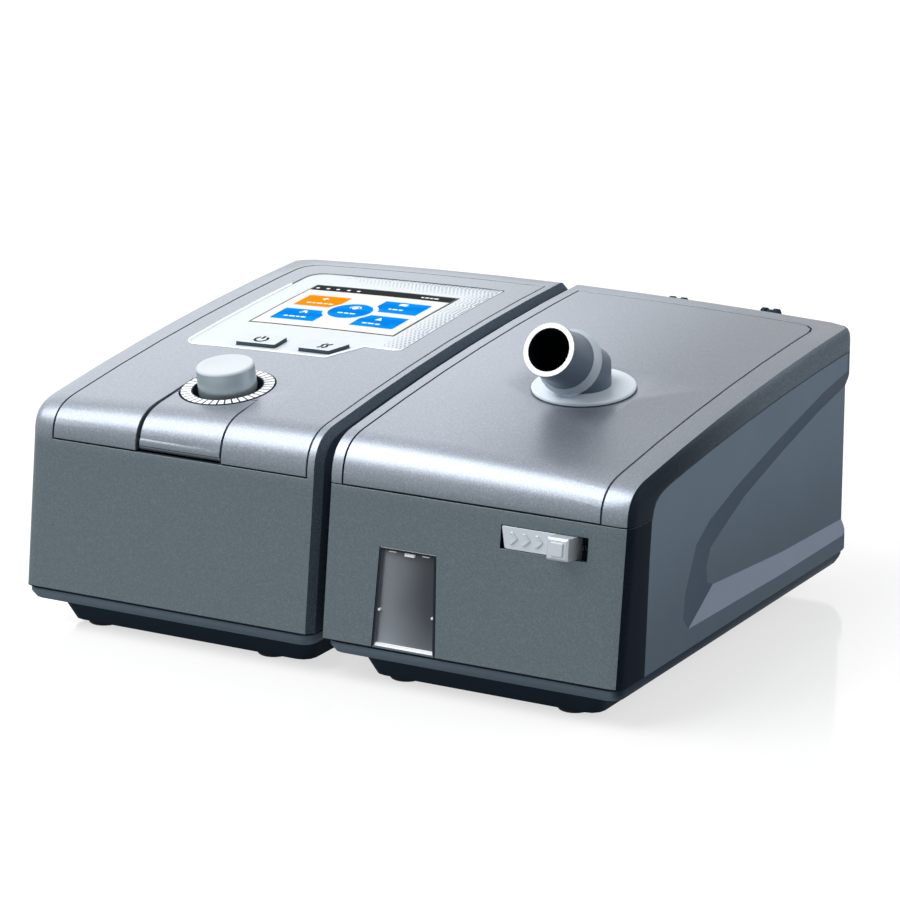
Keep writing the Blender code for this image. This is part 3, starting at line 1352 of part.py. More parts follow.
def lug(x):
    """A housing lug: round on the axis, running down behind the lid and into the rear wall below it."""
    y, z = HINGE_AXIS.y, HINGE_AXIS.z
    turns = [math.pi * (1 - share) for share in spread(0, 1, LUG_STEPS)]
    outline = [(y + HINGE_LUG * math.cos(t), z + HINGE_LUG * math.sin(t)) for t in turns]
    seam = band_bottom(BODY_DEPTH) - SEAM_GAP
    outline += [(y + HINGE_LUG, z - HINGE_LUG), (REAR_Y - WALL / 2, z - HINGE_ROOT - HINGE_LUG * 2),
                (REAR_Y - WALL / 2, seam - SEAM_GAP), (y - HINGE_LUG, seam - SEAM_GAP)]
    return prism("lug", outline, x - HINGE_LUG_WIDTH / 2, x + HINGE_LUG_WIDTH / 2, axis="X")


def knuckle(x):
    """The lid's knuckle: round on the axis, with a short arm to the lid's rear wall."""
    y, z = HINGE_AXIS.y, HINGE_AXIS.z
    turns = [math.pi * (share - 0.5) for share in spread(0, 1, LUG_STEPS)]
    outline = [(y + HINGE_KNUCKLE * math.cos(t), z + HINGE_KNUCKLE * math.sin(t)) for t in turns]
    outline += [(REAR_Y - WALL / 2, z + HINGE_KNUCKLE / 2), (REAR_Y - WALL / 2, z - HINGE_KNUCKLE)]
    return prism("knuckle", outline, x - HINGE_KNUCKLE_WIDTH / 2, x + HINGE_KNUCKLE_WIDTH / 2, axis="X")


def hinge_centres():
    return [HUMIDIFIER_X + HINGE_FIRST, HUMIDIFIER_X + HINGE_SECOND]


def lug_offset():
    return (HINGE_KNUCKLE_WIDTH + HINGE_LUG_WIDTH) / 2 + CLEARANCE


def hinge_hole(x):
    frame = Matrix.Translation((x, HINGE_AXIS.y, HINGE_AXIS.z)) @ Matrix.Rotation(math.pi / 2, 4, "Y")
    reach = HINGE_KNUCKLE_WIDTH / 2 + HINGE_LUG_WIDTH + OVERRUN
    radius = HINGE_PIN + CLEARANCE
    return turned("hinge_hole", [(radius, -reach), (radius, reach)], frame, SMALL_STEPS)


def hinge_pin(name, x):
    frame = Matrix.Translation((x, HINGE_AXIS.y, HINGE_AXIS.z)) @ Matrix.Rotation(math.pi / 2, 4, "Y")
    reach = HINGE_KNUCKLE_WIDTH / 2 + HINGE_LUG_WIDTH + CLEARANCE
    return finished(turned(name, [(HINGE_PIN, -reach), (HINGE_PIN, reach)], frame, SMALL_STEPS), "steel")


def humidifier_housing():
    shell = envelope("humidifier_housing", HUMIDIFIER)
    inner_side = PANEL_THICKNESS + CLEARANCE + WALL
    cut(shell, envelope("inside", HUMIDIFIER, inner_side, WALL, WALL, WALL, TRAY_FLOOR, COARSE_STEPS))
    cut(shell, above_seam("lid_space", SEAM_GAP / 2))
    cut(shell, side_panel_block("panel_space", CLEARANCE, OVERRUN))
    cut(shell, window_block("window_hole", CLEARANCE, OVERRUN * 2, OVERRUN, BAND_TOP - OVERRUN))
    cut(shell, latch_slot())
    radius = DUCT_RADIUS + CLEARANCE
    cut(shell, turned("port", [(radius, -OVERRUN), (radius, OVERRUN + WALL)], port_frame(HUMIDIFIER_X)))
    for x in hinge_centres():
        join(shell, lug(x - lug_offset()), lug(x + lug_offset()))
        cut(shell, hinge_hole(x))
    return finished(shell, "graphite_paint")


def window_block(name, grow, inwards, outwards, low=WINDOW_LOW):
    """The water window's outline, wider at its foot, pushed through the leaning front face."""
    high = WINDOW_HIGH + grow
    corners = []
    for edge, z in (("left", low), ("right", low), ("right", high), ("left", high)):
        share = (z - WINDOW_LOW) / (WINDOW_HIGH - WINDOW_LOW)
        x = HUMIDIFIER_X + WINDOW_FROM_DOCK
        if edge == "left":
            x += WINDOW_SHIFT_LEFT * share - grow
        else:
            x += WINDOW_BASE - WINDOW_SHIFT_RIGHT * share + grow
        corners.append((x, z))
    levels = (-inwards, outwards)
    return loft(name, [[(x, FRONT_Y + lean(z) - level, z) for x, z in corners] for level in levels])


def water_window():
    """A clear block with thick side and top edges round a sunken pane."""
    block = window_block("water_window", 0, WINDOW_DEPTH, 0)
    sunk = window_block("sunk", -WINDOW_FRAME, WINDOW_DEPTH - WINDOW_SKIN, OVERRUN, WINDOW_LOW + WINDOW_FRAME)
    cut(block, sunk)
    return finished(block, "clear_plastic")


def latch_frame():
    return face_frame(HUMIDIFIER_X + LATCH_FROM_DOCK, LATCH_MIDDLE)


def latch_slot():
    half = (LATCH_HIGH - LATCH_LOW) / 2
    return in_frame(box("slot", (0, -half, -WALL - OVERRUN), (LATCH_SLOT, half, OVERRUN)), latch_frame())


def latch_slider():
    """The latch plate with its pointed end, three chevrons, a finger tab and a flange behind the wall."""
    half = (LATCH_HIGH - LATCH_LOW) / 2 - CLEARANCE
    length = LATCH_SLOT - LATCH_TRAVEL - CLEARANCE
    left = CLEARANCE
    bend = LATCH_SLANT / 2
    corners = [(left + LATCH_SLANT, -half, bend), (length, -half, 0),
               (length, half, 0), (left, half, bend / 2)]
    plate = prism("latch_slider", rounded(corners, steps=COARSE_STEPS), -LATCH_THICKNESS, 0)
    flange_top = -WALL - CLEARANCE
    wide = half + LATCH_FLANGE
    flange = box("flange", (left + LATCH_SLANT, -wide, flange_top - WALL),
                 (length, wide, flange_top))
    join(plate, flange)
    tab = loft("tab", [
        [(length - LATCH_TAB + draw, -half + draw, z), (length - draw, -half + draw, z),
         (length - draw, half - draw, z), (length - LATCH_TAB + draw, half - draw, z)]
        for draw, z in ((0, -LATCH_THICKNESS / 2), (0, LATCH_TAB_REACH - LATCH_TAB_EDGE),
                        (LATCH_TAB_EDGE, LATCH_TAB_REACH))])
    join(plate, tab)
    middle = length - LATCH_TAB / 2
    pad = LATCH_TAB_PAD / 2
    join(plate, box("pad", (middle - pad, -pad, LATCH_TAB_REACH - SAMPLE),
                    (middle + pad, pad, LATCH_TAB_REACH + LATCH_PAD_RISE)))
    for index in range(CHEVRON_COUNT):
        x = left + CHEVRON_START + CHEVRON_PITCH * index
        tip, arm = CHEVRON_SPAN / 2, CHEVRON_SPAN / 2
        outline = [(x - tip, -arm), (x - tip + CHEVRON_WIDTH, -arm), (x + CHEVRON_WIDTH, 0),
                   (x - tip + CHEVRON_WIDTH, arm), (x - tip, arm), (x, 0)]
        join(plate, prism("chevron", outline, -SAMPLE, CHEVRON_RISE))
    finished(in_frame(plate, latch_frame()), "satin_metal")
    return pivoted(plate, latch_frame().translation)


def latch_carrier():
    """The guide behind the latch, with the stop that its spring pushes against."""
    half = (LATCH_HIGH - LATCH_LOW) / 2 + LATCH_FLANGE
    front = -WALL * 2 - CLEARANCE * 2
    left = LATCH_SLANT
    right = LATCH_SLOT + SPRING_LENGTH
    back = front - CARRIER_THICKNESS
    plate = box("latch_carrier", (left, -half, back), (right + CARRIER_THICKNESS, half, front))
    join(plate, box("stop", (right, -half, back + SAMPLE),
                    (right + CARRIER_THICKNESS, half, -WALL - CLEARANCE)))
    return finished(in_frame(plate, latch_frame()), "dark_plastic")


def latch_spring():
    """A coil spring between the latch and its stop, as one unbroken wire."""
    start = LATCH_SLOT - LATCH_TRAVEL
    end = LATCH_SLOT + SPRING_LENGTH - CLEARANCE
    depth = -(WALL + CLEARANCE + WALL / 2)
    radius = WALL / 2
    count = SPRING_TURNS * SPRING_POINTS
    centres = []
    for index in range(count + 1):
        share = index / count
        angle = 2 * math.pi * SPRING_TURNS * share
        x = start + SPRING_WIRE + (end - start - 2 * SPRING_WIRE) * share
        centres.append(Vector((x, radius * math.cos(angle), depth + radius * math.sin(angle) * 0.5)))
    rings = swept_rings(centres, SPRING_WIRE, WIRE_STEPS)
    return finished(in_frame(loft("latch_spring", rings), latch_frame()), "steel")


def well_rings(low_x, high_x, low_y, high_y, corner, heights):
    return [plan(low_x, high_x, low_y, high_y, corner, corner, z) for z in heights]


def well_span(gap):
    """Low and high corners of the tub's space in plan, drawn in by a gap."""
    low_x = HUMIDIFIER_X + WALL + WELL_MARGIN + gap
    high_x = HUMIDIFIER_END - PANEL_THICKNESS - CLEARANCE - WALL - WELL_MARGIN - gap
    return low_x, high_x, FRONT_Y + WELL_FRONT + gap, REAR_Y - WELL_FROM_REAR - gap


def well_liner():
    """The well that holds the tub: a rim to the housing's walls, a round hole for the heater plate."""
    low_x, high_x, low_y, high_y = well_span(0)
    rim = WELL_MARGIN - CLEARANCE
    rings = well_rings(low_x, high_x, low_y, high_y, WELL_CORNER, (WELL_BOTTOM, WELL_TOP - WELL_WALL))
    rings += well_rings(low_x - rim, high_x + rim, low_y - rim, high_y + rim, WELL_CORNER + rim,
                        (WELL_TOP - WELL_WALL, WELL_TOP))
    w = WELL_WALL
    rings += well_rings(low_x + w, high_x - w, low_y + w, high_y - w, WELL_CORNER - w,
                        (WELL_TOP, WELL_BOTTOM + w))
    liner = loft("well_liner", rings)
    place = Matrix.Translation(((low_x + high_x) / 2, (low_y + high_y) / 2, WELL_BOTTOM))
    radius = HEATER_RADIUS + CLEARANCE
    cut(liner, turned("heater_hole", [(radius, -OVERRUN), (radius, WELL_WALL + OVERRUN)], place, LARGE_STEPS))
    sill = WELL_BOTTOM + WELL_WALL * 2
    cut(liner, window_block("sight_hole", CLEARANCE, WELL_FRONT + OVERRUN, 0, sill))
    return finished(liner, "dark_plastic")


def heater_plate():
    low_x, high_x, low_y, high_y = well_span(0)
    place = Matrix.Translation(((low_x + high_x) / 2, (low_y + high_y) / 2, WELL_BOTTOM))
    top = WELL_WALL + TUB_GAP - CLEARANCE
    edge = HEATER_RADIUS - WELL_WALL / 4
    bottom = top - HEATER_THICKNESS
    profile = [(HEATER_RADIUS, bottom), (HEATER_RADIUS, top - WELL_WALL / 4), (edge, top)]
    return finished(turned("heater_plate", profile, place, LARGE_STEPS), "steel")


def water_tub():
    low_x, high_x, low_y, high_y = well_span(WELL_WALL + TUB_GAP)
    bottom = WELL_BOTTOM + WELL_WALL + TUB_GAP
    corner = WELL_CORNER - WELL_WALL
    w = TUB_WALL
    rings = well_rings(low_x, high_x, low_y, high_y, corner, (bottom, TUB_TOP))
    rings += well_rings(low_x + w, high_x - w, low_y + w, high_y - w, corner - w, (TUB_TOP, bottom + w))
    return finished(loft("water_tub", rings), "clear_plastic")


def tub_cover():
    """The tub's cover, with a collar up to the lid's seal and a hole for the air inlet."""
    low_x, high_x, low_y, high_y = well_span(WELL_WALL + TUB_GAP)
    bottom = TUB_TOP + CLEARANCE
    corner = WELL_CORNER - WELL_WALL
    cover = loft("tub_cover", well_rings(low_x, high_x, low_y, high_y, corner, (bottom, bottom + TUB_COVER)))
    x, y = collar_centre()
    place = Matrix.Translation((x, y, 0))
    join(cover, turned("collar", [(COLLAR_RADIUS, bottom + SAMPLE), (COLLAR_RADIUS, COLLAR_TOP)], place))
    inner = COLLAR_RADIUS - COLLAR_WALL
    cut(cover, turned("collar_bore", [(inner, bottom - OVERRUN), (inner, COLLAR_TOP + OVERRUN)], place))
    inlet = inlet_path()[-1]
    place = Matrix.Translation((inlet.x, inlet.y, bottom))
    radius = DUCT_RADIUS + CLEARANCE
    cut(cover, turned("inlet_hole", [(radius, -OVERRUN), (radius, TUB_COVER + OVERRUN)], place, MEDIUM_STEPS))
    return finished(cover, "clear_plastic")


def collar_centre():
    """Where the elbow's axis passes the top of the tub's collar."""
    axis = ELBOW_FRAME.to_3x3().col[2]
    drop = (ELBOW_FRAME.translation.z - COLLAR_TOP) / axis.z
    place = ELBOW_FRAME.translation - axis * drop
    return place.x, place.y


def outlet_seal():
    """The soft ring between the tub's collar and the lid, cut to the lid's slope."""
    x, y = collar_centre()
    inner = COLLAR_RADIUS - COLLAR_WALL
    place = Matrix.Translation((x, y, 0))
    low, high = COLLAR_TOP + CLEARANCE, ELBOW_FRAME.translation.z
    profile = [(COLLAR_RADIUS, low), (COLLAR_RADIUS, high), (inner, high), (inner, low)]
    ring = turned("outlet_seal", profile, place, open_core=True)
    drop = WALL + CLEARANCE + LID_DECK + CLEARANCE
    common(ring, envelope("ceiling", HUMIDIFIER, 0, 0, drop, 0))
    return pivoted(finished(ring, "silicone"), HINGE_AXIS)


def inlet_path():
    """From the dock gap through the housing's wall, then bending down into the tub's cover."""
    start = Vector((GAP_MIDDLE + CLEARANCE / 2, FRONT_Y + PORT_DEPTH, PORT_HEIGHT))
    middle = start + Vector((INLET_RUN - INLET_BEND, 0, -INLET_BEND))
    centres = [start]
    for share in spread(0, 1, INLET_STEPS):
        angle = math.pi / 2 * share
        centres.append(middle + INLET_BEND * Vector((math.sin(angle), 0, math.cos(angle))))
    centres.append(start + Vector((INLET_RUN, 0, -INLET_DROP)))
    return centres


def inlet_elbow():
    return finished(tube("inlet_elbow", inlet_path(), DUCT_RADIUS, DUCT_RADIUS - DUCT_WALL), "silicone")


def lid_frame():
    """The lid's frame: side bands, rear band and a deck that carries the inset panel."""
    frame = envelope("lid_frame", HUMIDIFIER)
    common(frame, above_seam("lid_form", -SEAM_GAP / 2))
    deck = WALL + CLEARANCE + LID_DECK
    cut(frame, envelope("inside", HUMIDIFIER, WALL, WALL, deck, WALL, TRAY_FLOOR, COARSE_STEPS))
    outline = panel_outline(HUMIDIFIER, LID_MARGIN, LID_DOCK_MARGIN, 0)
    step = WALL + CLEARANCE
    cut(frame, skin("seat", HUMIDIFIER, -OVERRUN, step, outline, SEAM_HEIGHT - OVERRUN))
    hole = STEM_RADIUS + CLEARANCE
    cut(frame, turned("stem_hole", [(hole, -deck - OVERRUN), (hole, OVERRUN)], ELBOW_FRAME))
    for x in hinge_centres():
        join(frame, knuckle(x))
        cut(frame, hinge_hole(x))
    return pivoted(finished(frame, "silver_paint"), HINGE_AXIS)


def lid_panel():
    """The inset panel with the shallow dish round the outlet."""
    outline = panel_outline(HUMIDIFIER, LID_MARGIN, LID_DOCK_MARGIN, SEAM_GAP)
    panel = skin("lid_panel", HUMIDIFIER, 0, WALL, outline, SEAM_HEIGHT + SEAM_GAP / 2)
    dish = [(DISC_RADIUS + SEAM_GAP, -DISH_DEPTH), (DISH_RADIUS, 0),
            (DISH_RADIUS + DISH_DEPTH, DISH_DEPTH / 2)]
    cut(panel, turned("dish", dish, ELBOW_FRAME, LARGE_STEPS))
    hole = STEM_RADIUS + CLEARANCE
    cut(panel, turned("stem_hole", [(hole, -WALL - OVERRUN), (hole, OVERRUN)], ELBOW_FRAME))
    return pivoted(finished(panel, "silver_paint"), HINGE_AXIS)


def elbow_rings(radii, below, beyond, sides=ROUND_STEPS):
    """Rings up the stem, over the mitre and along the outlet, which points forward and up."""
    bend = math.radians(ELBOW_BEND_DEGREES)
    corner = Vector((0, 0, ELBOW_BEND_RISE))
    along = Vector((0, -math.sin(bend), math.cos(bend)))
    out = Vector((0, -math.cos(bend), -math.sin(bend)))
    turns = [2 * math.pi * side / sides for side in range(sides)]
    stem, mitre, mouth_rings = radii
    rings = [[Vector((stem * math.cos(t), -stem * math.sin(t), -below)) for t in turns]]
    half = math.tan(bend / 2)
    rings.append([corner + Vector((mitre * math.cos(t), -mitre * math.sin(t), -mitre * math.sin(t) * half))
                  for t in turns])
    for distance, radius in mouth_rings:
        centre = corner + along * (ELBOW_LENGTH - distance + (beyond if distance == 0 else 0))
        rings.append([centre + radius * (math.cos(t) * Vector((1, 0, 0)) + math.sin(t) * out) for t in turns])
    return rings


def outlet_elbow():
    """The swivelling outlet: a cover disc, a stem through the lid and a mitred 22 mm mouth."""
    ring_back = RING_FROM_MOUTH + RING_WIDTH
    mouth = [(ring_back + RING_WIDTH, STEM_RADIUS), (ring_back, COLLAR_RING), (RING_FROM_MOUTH, COLLAR_RING),
             (RING_FROM_MOUTH * RING_FLARE_SHARE, (COLLAR_RING + MOUTH_RADIUS * 2) / 3),
             (RING_FROM_MOUTH * RING_NECK_SHARE, MOUTH_RADIUS), (0, MOUTH_RADIUS)]
    elbow = loft("outlet_elbow", elbow_rings((STEM_RADIUS, STEM_RADIUS, mouth), STEM_BELOW, 0))
    edge = DISC_THICKNESS / 3
    disc = [(STEM_RADIUS - SAMPLE, DISC_RISE - DISC_THICKNESS), (DISC_RADIUS, DISC_RISE - DISC_THICKNESS),
            (DISC_RADIUS, DISC_RISE - edge), (DISC_RADIUS - edge, DISC_RISE),
            (STEM_RADIUS - SAMPLE, DISC_RISE + edge / 2)]
    join(elbow, turned("disc", disc, Matrix.Identity(4), LARGE_STEPS))
    bore = [(ring_back, BORE_RADIUS), (0, BORE_RADIUS)]
    cut(elbow, loft("bore", elbow_rings((BORE_RADIUS, BORE_RADIUS, bore), STEM_BELOW + OVERRUN, OVERRUN)))
    middle = retainer_height()
    inner = STEM_RADIUS - GROOVE_DEPTH
    outer = STEM_RADIUS + OVERRUN
    groove = [(outer, middle - GROOVE_WIDTH / 2), (outer, middle + GROOVE_WIDTH / 2),
              (inner, middle + GROOVE_WIDTH / 2), (inner, middle - GROOVE_WIDTH / 2)]
    cut(elbow, turned("groove", groove, Matrix.Identity(4), open_core=True))
    in_frame(elbow, ELBOW_FRAME)
    return pivoted(finished(elbow, "grey_plastic"), ELBOW_FRAME.translation)


def retainer_height():
    """Middle of the retaining ring's groove, just under the lid's deck."""
    return -(WALL + CLEARANCE + LID_DECK + CLEARANCE * 2 + GROOVE_WIDTH / 2)


def elbow_retainer():
    """The ring in the stem's groove that keeps the elbow in the lid."""
    middle = retainer_height()
    half = GROOVE_WIDTH / 2 - CLEARANCE
    inner = STEM_RADIUS - GROOVE_DEPTH + CLEARANCE
    outer = (COLLAR_RADIUS - COLLAR_WALL + STEM_RADIUS) / 2
    profile = [(outer, middle - half), (outer, middle + half), (inner, middle + half), (inner, middle - half)]
    ring = turned("elbow_retainer", profile, ELBOW_FRAME, open_core=True)
    return pivoted(finished(ring, "steel"), ELBOW_FRAME.translation)


# Assembly

def blower_unit():
    base_tray("blower_base", BLOWER)
    feet("blower", BLOWER)
    blower_housing()
    top_cover()
    card_door()
    display_bezel()
    screen_window()
    display_module()
    control_board()
    for kind in ("power", "mode"):
        button(kind)
        key_switch(kind)
    dial_ring()
    selector_knob()
    encoder_shaft()
    push_plunger()
    encoder_body()
    card_reader()
    blower_mat()
    motor_body()
    motor_shaft()
    blower_casing()
    casing_cover()
    impeller()
    outlet_duct()
    air_filter()
    filter_cover()
    power_socket()


def humidifier_unit():
    base_tray("humidifier_base", HUMIDIFIER)
    feet("humidifier", HUMIDIFIER)
    humidifier_housing()
    side_panel()
    well_liner()
    heater_plate()
    water_tub()
    tub_cover()
    inlet_elbow()
    water_window()
    latch_slider()
    latch_carrier()
    latch_spring()
    lid_frame()
    lid_panel()
    outlet_elbow()
    elbow_retainer()
    outlet_seal()
    for name, x in zip(("hinge_pin_left", "hinge_pin_right"), hinge_centres()):
        hinge_pin(name, x)


def docking_tongues():
    for name, share in zip(("docking_tongue_front", "docking_tongue_rear"), TONGUE_DEPTHS_SHARE):
        finished(tongue(name, share, 0), "dark_plastic")


clear_scene()
blower_unit()
humidifier_unit()
docking_tongues()
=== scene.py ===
"""Finish of a bilevel airway pressure machine: a blower unit with a docked humidifier.

Lengths are metres in the frame's axes: +X to the right, -Y to the front, +Z up.
"""

import json
import math

import bmesh
import bpy
from bpy.props import FloatProperty, FloatVectorProperty, IntProperty, PointerProperty
from mathutils import Matrix, Vector
from mathutils.bvhtree import BVHTree


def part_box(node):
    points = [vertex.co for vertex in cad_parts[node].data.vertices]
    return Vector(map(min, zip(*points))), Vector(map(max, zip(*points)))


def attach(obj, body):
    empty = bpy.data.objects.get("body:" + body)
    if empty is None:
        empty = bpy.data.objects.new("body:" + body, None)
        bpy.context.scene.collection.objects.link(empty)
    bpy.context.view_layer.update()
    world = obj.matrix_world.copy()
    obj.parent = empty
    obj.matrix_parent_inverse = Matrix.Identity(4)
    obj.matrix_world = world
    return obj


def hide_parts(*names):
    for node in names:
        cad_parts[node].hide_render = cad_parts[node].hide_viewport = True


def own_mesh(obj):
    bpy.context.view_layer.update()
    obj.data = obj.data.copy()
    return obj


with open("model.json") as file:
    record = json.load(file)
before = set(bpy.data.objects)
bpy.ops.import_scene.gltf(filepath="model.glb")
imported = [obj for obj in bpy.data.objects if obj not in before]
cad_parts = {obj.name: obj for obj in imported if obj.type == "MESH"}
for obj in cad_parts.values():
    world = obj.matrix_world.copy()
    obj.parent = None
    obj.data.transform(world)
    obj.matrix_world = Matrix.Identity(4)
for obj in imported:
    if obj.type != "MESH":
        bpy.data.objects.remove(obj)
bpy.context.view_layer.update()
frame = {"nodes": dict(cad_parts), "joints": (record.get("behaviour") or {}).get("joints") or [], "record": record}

bl_info = {
    "name": "Airway pressure machine finish",
    "version": (1, 0, 0),
    "blender": (4, 5, 0),
    "location": "3D View > Sidebar > Airway Machine",
    "description": "Builds the visible pieces, paints and stage of a home airway pressure machine",
    "category": "Object",
}

NODES = frame["nodes"]
BODY = {node: body for body, nodes in frame["record"]["behaviour"]["bodies"].items() for node in nodes}
JOINTS = {joint["name"]: joint for joint in frame["joints"]}
SEAM_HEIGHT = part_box("humidifier_housing")[0].z + 0.0635
FINISH = {}

# The dish round the outlet port: where its slope starts and ends from the port, and its depth
DISH_SLOPE = (0.0165, 0.0230)
DISH_DEPTH = 0.0013
# How much lighter and darker the two shades of a paint and of a plastic are
PAINT_SPREAD = 0.38
PLASTIC_SPREAD = 0.07


# Node groups that several materials share

def socket(group, name, kind, output=False, default=None):
    item = group.interface.new_socket(
        name=name, in_out="OUTPUT" if output else "INPUT", socket_type=kind)
    if default is not None:
        item.default_value = default
    return item


def shader_group(name, inputs, outputs):
    """A new shader node group with its input and output nodes."""
    group = bpy.data.node_groups.new(name, "ShaderNodeTree")
    for label, kind, default in inputs:
        socket(group, label, kind, default=default)
    for label, kind in outputs:
        socket(group, label, kind, output=True)
    return group, group.nodes.new("NodeGroupInput"), group.nodes.new("NodeGroupOutput")


def math_node(tree, operation, first, second=None, clamp=False):
    node = tree.nodes.new("ShaderNodeMath")
    node.operation = operation
    node.use_clamp = clamp
    for index, value in enumerate((first, second)):
        if value is None:
            continue
        if isinstance(value, (int, float)):
            node.inputs[index].default_value = value
        else:
            tree.links.new(value, node.inputs[index])
    return node.outputs[0]


def mixed(tree, factor, first, second):
    """A colour between two colours or sockets."""
    node = tree.nodes.new("ShaderNodeMix")
    node.data_type = "RGBA"
    for index, value in ((0, factor), (6, first), (7, second)):
        if isinstance(value, (int, float, tuple)):
            node.inputs[index].default_value = value
        else:
            tree.links.new(value, node.inputs[index])
    return node.outputs[2]


def between(tree, value, low, high):
    """A smooth share from 0 at the low value to 1 at the high one."""
    node = tree.nodes.new("ShaderNodeMapRange")
    node.interpolation_type = "SMOOTHSTEP"
    node.inputs["From Min"].default_value = low
    node.inputs["From Max"].default_value = high
    tree.links.new(value, node.inputs["Value"])
    return node.outputs["Result"]


def place_in(tree):
    """The object coordinates, which every pattern here reads."""
    return tree.nodes.new("ShaderNodeTexCoord").outputs["Object"]


def object_axes(tree):
    split = tree.nodes.new("ShaderNodeSeparateXYZ")
    tree.links.new(place_in(tree), split.inputs[0])
    return split.outputs


def seen_rays(tree):
    """1 for the camera, glossy and transmission rays, which see the white background."""
    path = tree.nodes.new("ShaderNodeLightPath").outputs
    seen = math_node(tree, "ADD", path["Is Camera Ray"], path["Is Glossy Ray"])
    return math_node(tree, "ADD", seen, path["Is Transmission Ray"], clamp=True)


def flake_group():
    """Metallic flake: a fine mottle of light and dark grains, with a matching height."""
    group, given, made = shader_group(
        "metal_flake",
        [("Grain", "NodeSocketFloat", 2600.0), ("Contrast", "NodeSocketFloat", 0.25)],
        [("Shade", "NodeSocketFloat"), ("Height", "NodeSocketFloat")])
    place = place_in(group)
    noise = group.nodes.new("ShaderNodeTexNoise")
    noise.inputs["Detail"].default_value = 2.0
    noise.inputs["Roughness"].default_value = 0.7
    cells = group.nodes.new("ShaderNodeTexVoronoi")
    for node in (noise, cells):
        group.links.new(place, node.inputs["Vector"])
        group.links.new(given.outputs["Grain"], node.inputs["Scale"])
    both = math_node(group, "ADD", noise.outputs[0], cells.outputs["Distance"])
    centred = math_node(group, "SUBTRACT", both, 0.95)
    scaled = math_node(group, "MULTIPLY", centred, given.outputs["Contrast"])
    group.links.new(math_node(group, "ADD", scaled, 0.5, clamp=True), made.inputs["Shade"])
    group.links.new(noise.outputs[0], made.inputs["Height"])
    return group


def grain_group():
    """Moulded grain of plastics and rubber: fine bumps over a faint broad unevenness."""
    group, given, made = shader_group(
        "moulded_grain",
        [("Grain", "NodeSocketFloat", 1800.0), ("Patch", "NodeSocketFloat", 40.0)],
        [("Height", "NodeSocketFloat"), ("Patches", "NodeSocketFloat")])
    place = place_in(group)
    fine = group.nodes.new("ShaderNodeTexNoise")
    fine.inputs["Detail"].default_value = 3.0
    broad = group.nodes.new("ShaderNodeTexNoise")
    broad.inputs["Detail"].default_value = 2.0
    for node, name in ((fine, "Grain"), (broad, "Patch")):
        group.links.new(place, node.inputs["Vector"])
        group.links.new(given.outputs[name], node.inputs["Scale"])
    group.links.new(fine.outputs[0], made.inputs["Height"])
    group.links.new(broad.outputs[0], made.inputs["Patches"])
    return group


GROUPS = {}


def group_node(tree, name, **values):
    if name not in GROUPS:
        GROUPS[name] = {"metal_flake": flake_group, "moulded_grain": grain_group}[name]()
    node = tree.nodes.new("ShaderNodeGroup")
    node.node_tree = GROUPS[name]
    for label, value in values.items():
        node.inputs[label].default_value = value
    return node


# Materials

def material(name, **values):
    """A material with one Principled shader and its plain values."""
    made = bpy.data.materials.new(name)
    made.use_nodes = True
    shader = made.node_tree.nodes["Principled BSDF"]
    for label, value in values.items():
        shader.inputs[label.replace("_", " ")].default_value = value
    return made, made.node_tree, shader


def bump(tree, shader, height, strength, rounding, hollow=None):
    """Fine relief over edges rounded by a small radius, and over a hollow where one is given."""
    normal = None
    if rounding:
        edge = tree.nodes.new("ShaderNodeBevel")
        edge.samples = 4
        edge.inputs["Radius"].default_value = rounding
        normal = edge.outputs[0]
    for relief, amount, distance in ((hollow, 1.0, 1.0), (height, strength, 0.0001)):
        if relief is None:
            continue
        node = tree.nodes.new("ShaderNodeBump")
        node.inputs["Strength"].default_value = amount
        node.inputs["Distance"].default_value = distance
        tree.links.new(relief, node.inputs["Height"])
        if normal:
            tree.links.new(normal, node.inputs["Normal"])
        normal = node.outputs[0]
    tree.links.new(normal, shader.inputs["Normal"])


def shades(colour, spread):
    """A darker and a lighter shade of a colour."""
    dark = tuple(channel * (1 - spread) for channel in colour) + (1,)
    light = tuple(min(1, channel * (1 + spread)) for channel in colour) + (1,)
    return dark, light


def layered(tree, shade, pattern, spread, layers):
    """The shade under other colours. A layer is a colour with its places, each (axis, from, to)."""
    for colour, places in layers:
        axes = object_axes(tree)
        share = 1.0
        for axis, start, end in places:
            share = math_node(tree, "MULTIPLY", between(tree, axes[axis], start, end), share)
        shade = mixed(tree, share, shade, mixed(tree, pattern, *shades(colour, spread)))
    return shade


def paint(name, colour, metallic, roughness, contrast=0.7, gloss=0.35, layers=(), dish=None):
    """Metallic paint with flake, and a shallow dish round the point where one is given."""
    made, tree, shader = material(
        name, Metallic=metallic, Coat_Weight=0.05, Coat_Roughness=0.3, Specular_IOR_Level=gloss)
    flake = group_node(tree, "metal_flake", Grain=1500.0, Contrast=contrast)
    shade = mixed(tree, flake.outputs["Shade"], *shades(colour, PAINT_SPREAD))
    shade = layered(tree, shade, flake.outputs["Shade"], PAINT_SPREAD, layers)
    tree.links.new(shade, shader.inputs["Base Color"])
    rough = math_node(tree, "MULTIPLY_ADD", flake.outputs["Shade"], 0.16)
    rough.node.inputs[2].default_value = roughness - 0.08
    tree.links.new(rough, shader.inputs["Roughness"])
    hollow = None
    if dish:
        reach = tree.nodes.new("ShaderNodeVectorMath")
        reach.operation = "DISTANCE"
        reach.inputs[1].default_value = dish
        tree.links.new(place_in(tree), reach.inputs[0])
        slope = between(tree, reach.outputs["Value"], *DISH_SLOPE)
        hollow = math_node(tree, "MULTIPLY", slope, DISH_DEPTH)
    bump(tree, shader, flake.outputs["Height"], 0.10, bpy.context.scene.airway_sizes.edge, hollow)
    return made


